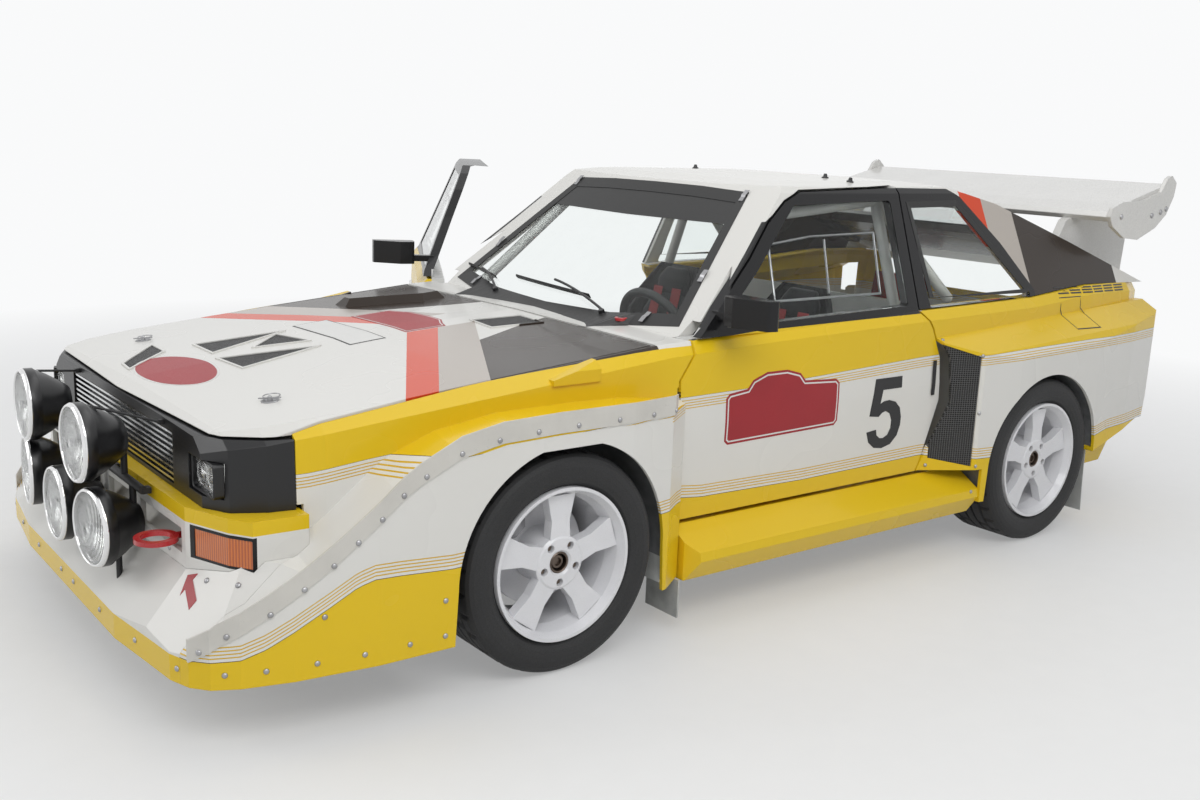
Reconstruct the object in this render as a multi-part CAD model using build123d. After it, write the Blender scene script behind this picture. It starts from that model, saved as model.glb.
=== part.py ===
from build123d import *
import os
from math import cos, radians, sin, tan

# Rally car, millimetres. X forward, Y to the car's left, Z up. Everything is
# drawn about the middle of the wheelbase on the floor and moved at the end.

# Driving sizes
wheelbase = 2224.0
front_axle_x = wheelbase / 2
rear_axle_x = -wheelbase / 2
nose_x = front_axle_x + 900
tail_x = rear_axle_x - 852
dam_x = front_axle_x + 1058
wheel_centre_y = 789.0
tyre_radius = 314.0
tyre_width = 244.0
rim_radius = 220.0
rim_width = 226.0
ground_clearance = 160.0
side_y = 801.0
belt_y = 768.0
belt_z = 900.0
roof_y = 592.0
roof_z = 1344.0
roof_rail_z = roof_z - 48

# A length beyond the car on every side, for cutting zones
far = 3000.0

# Walls and gaps
skin = 12.0
door_wall = 80.0
frame_wall = 35.0
glass_wall = 5.0
glass_depth = 3.0
seal_gap = 0.3
panel_gap = 6.0
shut_gap = 8.0
arch_gap = 22.0
pin_play = 0.1
bead_gap = 0.3


def xz_plane(y):
    return Plane(origin=(0, y, 0), x_dir=(1, 0, 0), z_dir=(0, -1, 0))


def yz_plane(x):
    return Plane(origin=(x, 0, 0), x_dir=(0, 1, 0), z_dir=(1, 0, 0))


def outline(points, radius=0):
    face = Polygon(*points, align=None)
    if radius:
        face = fillet(face.vertices(), radius)
    return face


def across(face, y0, y1):
    """A side-view face made solid from y0 to y1."""
    return extrude(xz_plane(y1) * face, amount=y1 - y0, dir=(0, -1, 0))


def along(face, x0, x1):
    """A front-view face made solid from x0 to x1."""
    return extrude(yz_plane(x0) * face, amount=x1 - x0, dir=(1, 0, 0))


def upright(face, z0, z1):
    """A plan-view face made solid from z0 to z1."""
    return extrude(Plane.XY.offset(z0) * face, amount=z1 - z0, dir=(0, 0, 1))


def box(x0, x1, y0, y1, z0, z1):
    return Pos((x0 + x1) / 2, (y0 + y1) / 2, (z0 + z1) / 2) * Box(x1 - x0, y1 - y0, z1 - z0)


def tube(start, end, radius):
    path = Vector(*end) - Vector(*start)
    return Solid.make_cylinder(radius, path.length, Plane(origin=start, z_dir=path))


def tube_run(points, radius):
    run = Sphere(radius).moved(Location(points[0]))
    for start, end in zip(points, points[1:]):
        run += tube(start, end, radius)
        run += Sphere(radius).moved(Location(end))
    return run


def y_mirror(shape):
    return mirror(shape, about=Plane.XZ)


def pair(shape):
    """The left piece and its mirror image, as separate solids of one node."""
    return [shape, y_mirror(shape)]


# Lower body: half sections along the car.
# Columns: x, middle height, crest y, crest z, side y
body_sections = [
    (nose_x, 728, 590, 716, 642),
    (nose_x - 40, 746, 655, 736, 716),
    (front_axle_x + 780, 758, 700, 746, 756),
    (front_axle_x + 640, 775, 725, 762, 778),
    (front_axle_x + 150, 830, 744, 812, side_y - 3),
    (front_axle_x - 450, 876, 752, 868, side_y),
    (front_axle_x - 900, belt_z - 16, belt_y, belt_z - 15, side_y + 1),
    (rear_axle_x + 600, 906, belt_y, belt_z + 3, side_y + 2),
    (rear_axle_x - 40, 918, belt_y, belt_z + 16, side_y),
    (rear_axle_x - 420, 950, 764, belt_z + 46, side_y - 6),
    (rear_axle_x - 720, 948, 748, belt_z + 44, side_y - 20),
    (tail_x, 940, 700, belt_z + 36, side_y - 70),
]
shoulder_drop = 34.0
floor_tuck = 60.0


def body_section(x, middle_z, crest_y, crest_z, waist_y, inset):
    floor_z = ground_clearance + inset
    half = [
        (crest_y - inset, crest_z - inset),
        (waist_y - 8 - inset, crest_z - shoulder_drop - inset / 2),
        (waist_y - inset, crest_z - 260),
        (waist_y - 6 - inset, 330),
        (waist_y - floor_tuck - inset, floor_z),
    ]
    ring = half + [(-y, z) for y, z in reversed(half)] + [(0, middle_z - inset)]
    return yz_plane(x) * Polygon(*ring, align=None)


def body(inset):
    """The lower body's outer form, drawn inwards by inset."""
    rows = [body_section(*row, inset) for row in body_sections]
    form = loft(rows, ruled=True)
    ends = outline([
        (nose_x - inset, 0), (nose_x - inset, 1200), (tail_x + inset, 1200),
        (tail_x + inset, 900), (tail_x + 34 + inset, 700), (tail_x + 100 + inset, 380),
        (tail_x + 130 + inset, 0),
    ])
    return form & across(ends, -1000, 1000)


# Glasshouse: windscreen, roof and fastback lines
screen_foot_x = front_axle_x - 509
screen_foot_z = belt_z - 40
cabin_reach_x = front_axle_x - 12
screen_sag = 40.0
screen_half = 655.0
screen_run = 1.173
roof_front_x = screen_foot_x - 485
roof_crown_x = rear_axle_x + 762
roof_rear_x = rear_axle_x + 312


def rail_height(share):
    """A height between the belt line and the roof rail."""
    return belt_z + share * (roof_rail_z - belt_z)


deck_z = rail_height(0.535)


def cabin_sides(inset):
    """The glasshouse's front-view form alone, run along the whole car."""
    half = [
        (belt_y + 14 - inset, belt_z - 60), (belt_y - inset, belt_z), (roof_y - inset, roof_rail_z),
        (roof_y - 20 - inset, roof_z - 26 - inset / 2), (480 - inset, roof_z - 11 - inset),
    ]
    ring = half + [(0, roof_z + 2 - inset)] + [(-y, z) for y, z in reversed(half)]
    return along(outline(ring), tail_x, cabin_reach_x)


def cabin(inset):
    """The glasshouse's outer form, drawn inwards by inset."""
    slope = (1 + screen_run ** 2) ** 0.5
    lift = inset * slope
    profile = outline([
        (cabin_reach_x, belt_z - 60), (cabin_reach_x, roof_rail_z - 6 - inset),
        (roof_front_x + 20, roof_z - 44 - inset), (roof_front_x - 150, roof_z - 14 - inset),
        (roof_crown_x, roof_z - inset),
        (roof_rear_x + 160, roof_z - 6 - inset), (roof_rear_x, roof_z - 22 - inset),
        (rear_axle_x + 21, rail_height(0.9) - inset), (rear_axle_x - 388, deck_z - inset),
        (tail_x, belt_z + 38 - inset), (tail_x, belt_z - 60),
    ])
    form = across(profile, -900, 900) & cabin_sides(inset)
    edge = ThreePointArc(
        (screen_foot_x - screen_sag - lift, -screen_half),
        (screen_foot_x - lift, 0),
        (screen_foot_x - screen_sag - lift, screen_half),
    )
    reach = Polyline(
        (screen_foot_x - screen_sag - lift, screen_half),
        (screen_foot_x - screen_sag - lift, 1000),
        (-far, 1000), (-far, -1000),
        (screen_foot_x - screen_sag - lift, -1000),
        (screen_foot_x - screen_sag - lift, -screen_half),
    )
    plan = Pos(0, 0, screen_foot_z) * make_face(edge + reach)
    lean = Vector(-screen_run, 0, 1)
    screen = extrude(plan, amount=560 * slope, dir=lean) + extrude(plan, amount=60 * slope, dir=-lean)
    return form & screen


body_outer = body(0)
body_skin = body_outer - body(skin)
cabin_outer = cabin(0)

# Doors: outline of the skin's edge, from the sill round to the front.
# Columns: x, y, z
door_front_x = front_axle_x - 480
door_rear_x = rear_axle_x + 606
sill_z = 330.0
door_outline = [
    (door_front_x, side_y, sill_z),
    (door_front_x - 8, side_y, 600),
    (door_front_x - 6, side_y - 4, 760),
    (door_front_x - 90, belt_y + 4, belt_z - 18),
    (door_front_x - 371, 682, rail_height(0.495)),
    (door_front_x - 492, 635, rail_height(0.768)),
    (door_front_x - 588, 606, roof_rail_z - 28),
    (door_front_x - 672, roof_y, roof_rail_z + 4),
    (door_rear_x - 29, 584, roof_rail_z + 18),
    (door_rear_x + 22, belt_y, belt_z),
    (door_rear_x - 30, side_y - 4, 838),
    (door_rear_x - 78, side_y, 738),
    (door_rear_x - 91, side_y, 581),
    (door_rear_x - 25, side_y, 383),
    (door_rear_x, side_y, sill_z),
]
shut_slant = 0.2
hinge_y = side_y - 13
hinge_x = door_front_x - 20
hinge_heights = (460.0, 720.0)
hinge_plate = 8.0
pin_radius = 5.0
lug_pin = 4.0
pillar_front_x = door_front_x + 38
right_door_open = 62.0


def door_prism(grow, y0, y1):
    """The door outline along the slanted shut faces, between two y planes."""
    points = [(x + shut_slant * y, z) for x, y, z in door_outline]
    face = Polygon(*points, align=None)
    if grow:
        face = offset(face, grow, kind=Kind.INTERSECTION)
    face = xz_plane(0) * face
    run = Vector(-shut_slant, 1, 0)
    return extrude(face, amount=1200 * run.length, dir=run) & box(-far, far, y0, y1, 0, 2000)


leaf_inner_y = 690.0
leaf_top_z = belt_z + 12
pillar_zone = cabin_sides(frame_wall + panel_gap) & box(-far, far, -1000, 1000, leaf_top_z + panel_gap, 2000)
sill_zone = box(-far, far, 0, leaf_inner_y - panel_gap, 0, leaf_top_z + panel_gap + 1)
door_opening = door_prism(shut_gap, 420, 1000) - pillar_zone - sill_zone
window_outline = [
    (door_front_x - 174, belt_z + 2), (door_front_x - 392, rail_height(0.409)),
    (door_front_x - 520, rail_height(0.687)), (door_front_x - 624, roof_rail_z - 38),
    (door_rear_x + 26, roof_rail_z - 24), (door_rear_x + 68, belt_z + 22),
]
door_window = across(outline(window_outline, 14), 400, 1000)
door_window_seal = across(offset(outline(window_outline, 14), -seal_gap), 400, 1000)

leaf_zone = box(-far, far, 600, 1000, 0, leaf_top_z)
frame_zone = box(-far, far, 400, 1000, belt_z - 20, roof_z + 56)
door_leaf = (body_outer - body(door_wall)) & door_prism(0, leaf_inner_y, 1000) & leaf_zone
door_frame = (cabin_outer - cabin_sides(frame_wall)) & door_prism(0, 480, 1000) & frame_zone
door_left = (door_leaf + door_frame) - door_window

# Door hinges: a swan-necked plate on the pillar carries a pin inside the leaf
hinge_pins = []
for z in hinge_heights:
    pocket = box(hinge_x - 12, door_front_x + 40, hinge_y - 68, hinge_y + 8, z - hinge_plate, z + hinge_plate)
    bore = Pos(hinge_x, hinge_y, z) * Cylinder(pin_radius + pin_play, 60)
    door_left = door_left - pocket - bore
    neck = upright(outline([
        (hinge_x - 5, hinge_y + 3), (hinge_x + 5, hinge_y + 3), (hinge_x + 12, hinge_y - 46),
        (pillar_front_x + 4, hinge_y - 56), (pillar_front_x + 4, hinge_y - 70), (hinge_x + 2, hinge_y - 58),
        (hinge_x - 4, hinge_y - 30),
    ]), z - hinge_plate / 2, z + hinge_plate / 2)
    hinge_pins.append(neck + Pos(hinge_x, hinge_y, z) * Cylinder(pin_radius, 44))

# Mirror housing on its arm, seated on the door's front corner
mirror_x = door_front_x - 187
mirror_z = belt_z + 66
mirror_body = upright(outline([
    (mirror_x - 34, 812), (mirror_x + 40, 806), (mirror_x + 52, 860), (mirror_x + 8, 968),
    (mirror_x - 34, 976),
], 12), mirror_z - 44, mirror_z + 44)
mirror_arm = box(mirror_x - 22, mirror_x + 14, 730, 830, mirror_z - 36, mirror_z - 12)
door_left = door_left + (mirror_arm - cabin(glass_depth)) + mirror_body

door_glass_left = (cabin(glass_depth) - cabin(glass_depth + glass_wall)) & door_window_seal

# Roof frame: roof, pillars and window openings
windscreen_half = [
    (0, screen_foot_z + 4), (340, screen_foot_z + 12), (640, belt_z + 4),
    (462, roof_rail_z - 14), (240, roof_rail_z - 6), (0, roof_rail_z - 4),
]
rear_window_front_x = rear_axle_x + 262
rear_window_rear_x = rear_axle_x - 300


def windscreen_cutter(shrink):
    ring = windscreen_half + [(-y, z) for y, z in reversed(windscreen_half[1:-1])]
    face = outline(ring)
    if shrink:
        face = offset(face, -shrink)
    return along(face, roof_front_x - 60, 1100)


def rear_window_cutter(shrink):
    face = outline([
        (rear_window_front_x, -500), (rear_window_front_x, 500),
        (rear_window_rear_x, 590), (rear_window_rear_x, -590),
    ], 30)
    if shrink:
        face = offset(face, -shrink)
    return upright(face, 950, 1500)


def quarter_window_cutter(shrink):
    face = outline([
        (rear_axle_x + 538, roof_rail_z - 38), (rear_axle_x + 262, roof_rail_z - 34),
        (rear_axle_x - 58, belt_z + 18), (rear_axle_x + 560, belt_z + 10),
    ], 12)
    if shrink:
        face = offset(face, -shrink)
    return across(face, 400, 1000)


glass_shell = cabin(glass_depth) - cabin(glass_depth + glass_wall)
windscreen = glass_shell & windscreen_cutter(seal_gap)
rear_window = glass_shell & rear_window_cutter(seal_gap)
quarter_window_left = glass_shell & quarter_window_cutter(seal_gap)

# Tail lid outline in plan
lid_front_x = rear_axle_x - 390
lid_rear_x = tail_x + 8
lid_half = 622.0
lid_wall = 22.0
lid_front_gap = 9.0
lid_hinge_y = 450.0
lid_hinge_x = lid_front_x + lid_front_gap / 2
lid_hinge_z = deck_z + 8
knuckle_radius = 8.0


def lid_prism(grow, front_gap):
    return box(lid_rear_x - 60, lid_front_x + front_gap, -lid_half - grow, lid_half + grow, 800, 1500)


# The seam between glasshouse and lower body, from the cowl to the tail.
# Columns: x, z
belt_line = [
    (cabin_reach_x, belt_z - 49), (door_front_x - 34, belt_z - 38), (rear_axle_x + 600, belt_z + 8),
    (rear_axle_x - 40, belt_z + 18), (rear_axle_x - 420, belt_z + 48), (tail_x - 20, belt_z + 40),
]
above_belt = across(outline(belt_line + [(tail_x - 20, 1500), (cabin_reach_x, 1500)]), -1000, 1000)
cabin_shell = (cabin_outer - cabin(frame_wall)) & above_belt
roof_frame = cabin_shell - windscreen_cutter(0) - rear_window_cutter(0) - lid_prism(panel_gap, lid_front_gap)
roof_frame = roof_frame - door_opening - y_mirror(door_opening)
roof_frame = roof_frame - quarter_window_cutter(0) - y_mirror(quarter_window_cutter(0))

tail_lid = (cabin_outer - cabin(lid_wall)) & lid_prism(0, 0) & above_belt


def hinge_barrel(y0, y1, radius):
    """A barrel about the tail lid's hinge line."""
    return Pos(lid_hinge_x, (y0 + y1) / 2, lid_hinge_z) * Rot(90, 0, 0) * Cylinder(radius, y1 - y0)


# Each lid hinge: a knuckle and pin on the roof frame, a knuckle with its bore on the lid
fixed_knuckle = hinge_barrel(lid_hinge_y - 4, lid_hinge_y + 4, knuckle_radius) + box(
    lid_hinge_x, lid_hinge_x + 40, lid_hinge_y - 4, lid_hinge_y + 4, lid_hinge_z - 24, lid_hinge_z - 2)
fixed_knuckle += hinge_barrel(lid_hinge_y - 4, lid_hinge_y + 22, lug_pin)
fixed_pocket = box(
    lid_hinge_x - 14, lid_hinge_x, lid_hinge_y - 6, lid_hinge_y + 4.5, lid_hinge_z - 40, lid_hinge_z + 20)
lid_knuckle = hinge_barrel(lid_hinge_y + 5, lid_hinge_y + 21, knuckle_radius) + box(
    lid_hinge_x - 40, lid_hinge_x, lid_hinge_y + 5, lid_hinge_y + 21, lid_hinge_z - 24, lid_hinge_z - 2)
lid_knuckle = lid_knuckle - hinge_barrel(lid_hinge_y, lid_hinge_y + 30, lug_pin + pin_play)
lid_pocket = box(
    lid_hinge_x, lid_hinge_x + 14, lid_hinge_y + 4, lid_hinge_y + 23, lid_hinge_z - 50, lid_hinge_z + 20)
roof_frame = roof_frame - lid_pocket - y_mirror(lid_pocket) + fixed_knuckle + y_mirror(fixed_knuckle)
tail_lid = tail_lid - fixed_pocket - y_mirror(fixed_pocket) + lid_knuckle + y_mirror(lid_knuckle)

# Hood with its plan outline
hood_half = 735.0
hood_rear_x = front_axle_x - 412
hood_wall = 16.0
hood_gap = 14.0
hood_hinge_y = 560.0
hood_hinge_x = hood_rear_x + 50
hood_hinge_z = 834.0
bulkhead_wall = 12.0
bulkhead_top_z = 848.0
header_top_z = 722.0
header_rear_x = front_axle_x + 712
hood_zone = box(hood_rear_x, 2400, -hood_half, hood_half, header_top_z + panel_gap, 1200)
# Blister on the hood's right half. Columns: x ahead of the hood's rear edge, y
blister_plan = [(392, -566), (392, -474), (262, -404), (142, -332), (10, -332), (10, -584)]
blister_height = 26.0
blister_draft = 40.0
blister_foot_z = 822.0
blister_run = 90.0
blister_face = outline([(hood_rear_x + x, y) for x, y in blister_plan])
blister = extrude(
    Plane.XY.offset(blister_foot_z) * blister_face, amount=blister_run, dir=(0, 0, 1), taper=blister_draft)
hood = (body_outer - body(hood_wall)) & hood_zone
hood += (body(-blister_height) - body(2)) & blister
hood_lug = box(
    hood_hinge_x - 11, hood_hinge_x + 11, hood_hinge_y + 5, hood_hinge_y + 21,
    hood_hinge_z - 10, hood_hinge_z + 30)
lug_bore = Rot(90, 0, 0) * Cylinder(lug_pin + pin_play, 20)
hood_lug = (hood_lug & body(hood_wall - 2)) - Pos(hood_hinge_x, hood_hinge_y + 13, hood_hinge_z) * lug_bore
hood = hood + hood_lug + y_mirror(hood_lug)

# Each hood hinge: a plate from the bulkhead with its pin through the lug
hood_arm = across(outline([
    (pillar_front_x + 2, hood_hinge_z - 73), (hood_hinge_x + 8, hood_hinge_z - 73),
    (hood_hinge_x + 7, hood_hinge_z + 5), (hood_hinge_x - 7, hood_hinge_z + 5),
    (hood_hinge_x - 5, hood_hinge_z - 51), (pillar_front_x + 2, hood_hinge_z - 51),
]), hood_hinge_y - 4, hood_hinge_y + 4)
hood_arm += Pos(hood_hinge_x, hood_hinge_y + 9, hood_hinge_z) * Rot(90, 0, 0) * Cylinder(lug_pin, 26)

# Front fenders with their box flares
flare_y = 929.0
flare_top_z = 745.0
flare_slope = 0.25
arch_half = 350.0
flare_rear_x = door_front_x + shut_gap
dam_bottom_z = 168.0

# Columns: x, z of the flare's top at its inner side
front_flare_top = [
    (dam_x + 60, 478), (front_axle_x + 731, 478), (front_axle_x + 676, 519), (front_axle_x + 619, 566),
    (front_axle_x + 571, 605), (front_axle_x + 514, 650), (front_axle_x + 465, 679),
    (front_axle_x + 343, 728), (front_axle_x + 159, flare_top_z + 14), (front_axle_x - 79, flare_top_z + 18),
    (front_axle_x - 257, flare_top_z + 14), (flare_rear_x, flare_top_z - 8),
]
front_plan = [
    (dam_x, -900), (dam_x, 420), (dam_x - 22, 619), (dam_x - 34, 734), (dam_x - 56, 800),
    (dam_x - 92, 842), (dam_x - 153, 872), (front_axle_x + 784, 903), (front_axle_x + 573, flare_y - 1),
    (front_axle_x + 190, flare_y + 1), (front_axle_x - 212, flare_y - 4), (front_axle_x - 372, 902),
    (flare_rear_x, 836), (flare_rear_x, -900),
]

# Sloping faces of the nose: the dam's front, its corner and the corner's side.
# Columns: a point on the face, its rise per millimetre along x and along y
dam_top_x = nose_x + 34
dam_top_z = 390.0
nose_slopes = [
    ((dam_top_x, 0, dam_top_z), -1.25, 0),
    ((dam_top_x, 610, dam_top_z), -1.25, -0.305),
    ((front_axle_x + 787, 903, 388), -0.843, -0.831),
]


def below_slope(point, rise_x, rise_y, inset):
    """Everything under a sloping plane, lowered by inset along its normal."""
    normal = Vector(-rise_x, -rise_y, 1).normalized()
    foot = Vector(*point) - normal * inset
    return Plane(origin=foot, z_dir=normal) * Pos(0, 0, -far / 2) * Box(2 * far, 2 * far, far)


def oblique(face, start_y, end_y, drop):
    """A side-view face swept outwards from start_y, sinking by drop per millimetre."""
    run = Vector(0, 1, -drop)
    return extrude(xz_plane(start_y) * face, amount=(end_y - start_y) * run.length, dir=run)


def front_form(inset):
    """Flare and air dam of the left front corner, drawn inwards by inset."""
    ring = front_flare_top + [(flare_rear_x, -200), (dam_x + 60, -200)]
    side = outline(ring)
    plan = outline(front_plan)
    if inset:
        side = offset(side, -inset, kind=Kind.INTERSECTION)
        plan = offset(plan, -inset, kind=Kind.INTERSECTION)
    form = Pos(0, 0, flare_slope * 1600) * oblique(side, -900, 1000, flare_slope) & upright(plan, 0, 900)
    for slope in nose_slopes:
        form = form & below_slope(*slope, inset)
    return form


def arch_cut(centre_x, radius, flat_top, y0, y1):
    """Wheel opening: a circle cut flat at its top, straight down from the hub."""
    hole = Pos(centre_x, tyre_radius) * Circle(radius)
    feet = Polygon(
        (centre_x - radius - 20, -50), (centre_x + radius + 20, -50),
        (centre_x + radius, tyre_radius), (centre_x - radius, tyre_radius), align=None)
    return across(hole + feet, y0, y1) & box(-far, far, y0, y1, -60, tyre_radius + flat_top)


cowl_half = 684.0
bumper_gap_zone = box(header_rear_x - 16, far, 600, 1000, 0, 560)
front_arch = arch_cut(front_axle_x, arch_half, tyre_radius + arch_gap, 500, 1000)
flare_solid = front_form(0)
flare_inside = front_form(skin)
flare_shell = flare_solid - flare_inside
flare_outside = flare_shell - body(skin)
flare_zone = box(flare_rear_x, dam_x + 10, side_y - 50, 1000, dam_bottom_z, 900)

front_panel_x = front_axle_x + 733

# The dam's panel between the two flares, seen in plan
dam_panel_line = [
    (front_axle_x + 734, 812), (front_axle_x + 788, 835), (front_axle_x + 878, 838),
    (dam_x - 110, 815), (dam_x - 58, 770), (dam_x + 60, 770),
]


def dam_zone(grow):
    ring = [(x, y + grow) for x, y in dam_panel_line]
    ring = [(ring[0][0] - grow, -10)] + [(ring[0][0] - grow, ring[0][1])] + ring[1:] + [(dam_x + 60, -10)]
    return upright(outline(ring), 0, 900)


fender_skin = body_skin & box(flare_rear_x, header_rear_x, hood_half + panel_gap, 1000, dam_bottom_z, 900)
fender_heel = body_skin & box(
    door_front_x - 110, hood_rear_x - hood_gap, cowl_half + seal_gap, 1000, flare_top_z - 1, 900)
fender_heel = fender_heel - cabin_outer - door_opening
fender_skin = fender_skin - bumper_gap_zone + fender_heel
fender_bump = across(outline([
    (front_axle_x - 20, 806), (front_axle_x - 182, 848), (front_axle_x - 182, 790), (front_axle_x - 20, 790),
]), hood_half + panel_gap, side_y - 1)
fender_bump = (fender_bump & below_slope((front_axle_x, 772, 848), 0, -0.8, 0)) - body(2)
front_fender = fender_skin + fender_bump - flare_inside + (flare_outside & flare_zone - dam_zone(seal_gap))
front_fender = front_fender - front_arch - box(-far, far, 0, 1000, -100, dam_bottom_z)

# Air dam: the sloping front below the bumper, open underneath
dam_cap_z = 446.0
dam_half = flare_shell & dam_zone(0) & box(0, far, 0, 1000, dam_bottom_z, dam_cap_z)
dam_half += flare_solid & box(front_panel_x + seal_gap, nose_x + 30, 0, 700, dam_cap_z - 36, dam_cap_z - 24)
air_dam = dam_half + y_mirror(dam_half)

# Nose: black header with its headlamp recesses, grille and bumper
header_bottom_z = 548.0
header_wall = 24.0
lamp_y = 626.0
lamp_half = 74.0
lamp_low_z = 578.0
lamp_high_z = 668.0
lamp_face_x = nose_x - 34
grille_half = 440.0
grille_low_z = header_bottom_z + 10
grille_high_z = header_top_z - 28
header = (body_outer - body(header_wall)) & box(
    header_rear_x + 2, nose_x + 10, -900, 900, header_bottom_z, header_top_z)
lamp_hole = box(nose_x - 60, nose_x + 60, lamp_y - lamp_half, lamp_y + lamp_half, lamp_low_z, lamp_high_z)
grille_hole = box(nose_x - 60, nose_x + 60, -grille_half, grille_half, grille_low_z, grille_high_z)
nose_panel = header - lamp_hole - y_mirror(lamp_hole) - grille_hole
head_lamp = box(
    nose_x - 60, lamp_face_x, lamp_y - lamp_half + seal_gap, lamp_y + lamp_half - seal_gap,
    lamp_low_z + seal_gap, lamp_high_z - seal_gap)

slat_count = 9
slat_pitch = (grille_high_z - grille_low_z) / slat_count
grille_back_x = nose_x - header_wall - seal_gap
grille = box(
    grille_back_x - 8, grille_back_x, -grille_half - 12, grille_half + 12,
    grille_low_z - 8, grille_high_z + 8)
for n in range(slat_count):
    slat_z = grille_low_z + slat_pitch * (n + 0.5)
    grille += box(grille_back_x - 1, nose_x - 4, -grille_half + 1, grille_half - 1, slat_z - 3, slat_z + 3)

bumper_top_z = header_bottom_z - seal_gap
bumper_low_z = dam_top_z - 16
bumper_wall = 14.0
bumper_face_x = nose_x + 44
intake_low_z = 424.0
intake_high_z = 488.0
# Columns: y of the intake's inner and outer edge
intake_edges = [(30, 265), (290, 585)]
marker_rear_x = nose_x - 58
marker_inner_y = 640.0
marker_low_z = 430.0
marker_high_z = 500.0


def bumper_form(inset):
    plan = outline([
        (header_rear_x - 10 + inset, -700), (header_rear_x - 10 + inset, 812 - inset),
        (header_rear_x + 130, 806 - inset), (nose_x - 20, 750 - inset), (nose_x + 34 - inset, 610),
        (bumper_face_x - inset, 0), (nose_x + 34 - inset, -610), (nose_x - 20, -750 + inset),
        (header_rear_x + 130, -806 + inset), (header_rear_x - 10 + inset, -812 + inset),
    ])
    return upright(plan, bumper_low_z + inset, bumper_top_z - inset)


dam_clear = front_form(-seal_gap) & (
    box(0, far, 0, 1000, 0, dam_cap_z + seal_gap) + box(0, front_panel_x + 1, 0, 1000, 0, 900))
bumper = bumper_form(0) - bumper_form(bumper_wall) - box(header_rear_x - 40, nose_x - 30, -700, 700, 0, 900)
for inner_y, outer_y in intake_edges:
    intake = box(nose_x, nose_x + 80, inner_y, outer_y, intake_low_z, intake_high_z)
    bumper = bumper - intake - y_mirror(intake)
marker_zone = box(marker_rear_x, nose_x + 60, marker_inner_y, 900, marker_low_z, marker_high_z)
bumper = bumper - marker_zone - y_mirror(marker_zone) - dam_clear - y_mirror(dam_clear)
marker = (bumper_form(2) - bumper_form(bumper_wall + 10)) & box(
    marker_rear_x + seal_gap, nose_x + 60, marker_inner_y + seal_gap, 900,
    marker_low_z + seal_gap, marker_high_z - seal_gap)
marker = marker - dam_clear

# Driving lamps: a bowl revolved about its axis, on a bar across the nose.
# Columns: x of the glass, y, z, turn outwards in degrees
lamp_radius = 104.0
lamp_depth = 128.0
lamp_places = [
    (dam_x + 27, 0, 418, 0), (dam_x + 21, 317, 435, 7), (dam_x + 21, -317, 435, -7),
    (dam_x + 36, 253, 646, 2), (dam_x + 36, -253, 646, -2),
]
bar_x = nose_x + 66
bar_z = 541.0
bar_half = 400.0
bar_radius = 11.0
bracket_ys = (-390, -130, 130, 390)
stay_foot_y = 375.0
dam_stay_x = dam_x - 50
dam_stay_low_z = 260.0
bowl = revolve(Plane.XZ * make_face(Polyline(
    (0, 0), (0, lamp_radius - 8), (-10, lamp_radius), (-34, lamp_radius), (-70, lamp_radius - 20),
    (-lamp_depth, 46), (-lamp_depth, 0), (0, 0))), Axis.X)
driving_lamps = [Pos(x, y, z) * Rot(0, 0, turn) * bowl for x, y, z, turn in lamp_places]
lamp_bar = tube((bar_x, -bar_half, bar_z), (bar_x, bar_half, bar_z), bar_radius)
for x, y, z, turn in lamp_places:
    lamp_bar += tube((bar_x, y, bar_z), (bar_x, y, z), 9)
    if z < bar_z:
        lamp_bar += tube((dam_stay_x, y, z), (dam_stay_x, y, dam_stay_low_z), 8)
for y in bracket_ys:
    lamp_bar += box(bumper_face_x + seal_gap, bar_x, y - 12, y + 12, bar_z - bar_radius, bumper_top_z - 2)
lamp_bar = lamp_bar - dam_clear - y_mirror(dam_clear) - bumper_form(-seal_gap)
for y in (-stay_foot_y, stay_foot_y):
    clip = box(nose_x + seal_gap, nose_x + 12, y - 7, y + 7, header_top_z - 20, header_top_z - 8)
    stay_top = (dam_x - 4, y * 0.675, header_top_z + 20)
    lamp_bar += clip + tube(stay_top, (nose_x + 8, y, header_top_z - 14), 3.5)
for lamp in driving_lamps:
    lamp_bar = lamp_bar - lamp

# Tow eye: a flat ring on a shank that comes out through the bumper's intake
tow_y = 535.0
tow_z = dam_cap_z + 8
tow_x = bumper_face_x + 36
tow_bore = 38.0
tow_outer = 54.0
tow_wall = 12.0
rear_tow_x = tail_x - 42
rear_tow_z = 300.0
flat_ring = Cylinder(tow_outer, tow_wall) - Cylinder(tow_bore, tow_wall + 2)
tow_ring = Pos(tow_x, tow_y, tow_z) * flat_ring
tow_ring += box(front_panel_x + seal_gap, tow_x - 46, tow_y - 9, tow_y + 9, tow_z - 6, tow_z + 6)
rear_tow = Pos(rear_tow_x, tow_y, rear_tow_z) * flat_ring
rear_tow += box(rear_tow_x + 46, tail_x + 240, tow_y - 9, tow_y + 9, rear_tow_z - 6, rear_tow_z + 6)
rear_tow = rear_tow - body(-seal_gap)

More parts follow.
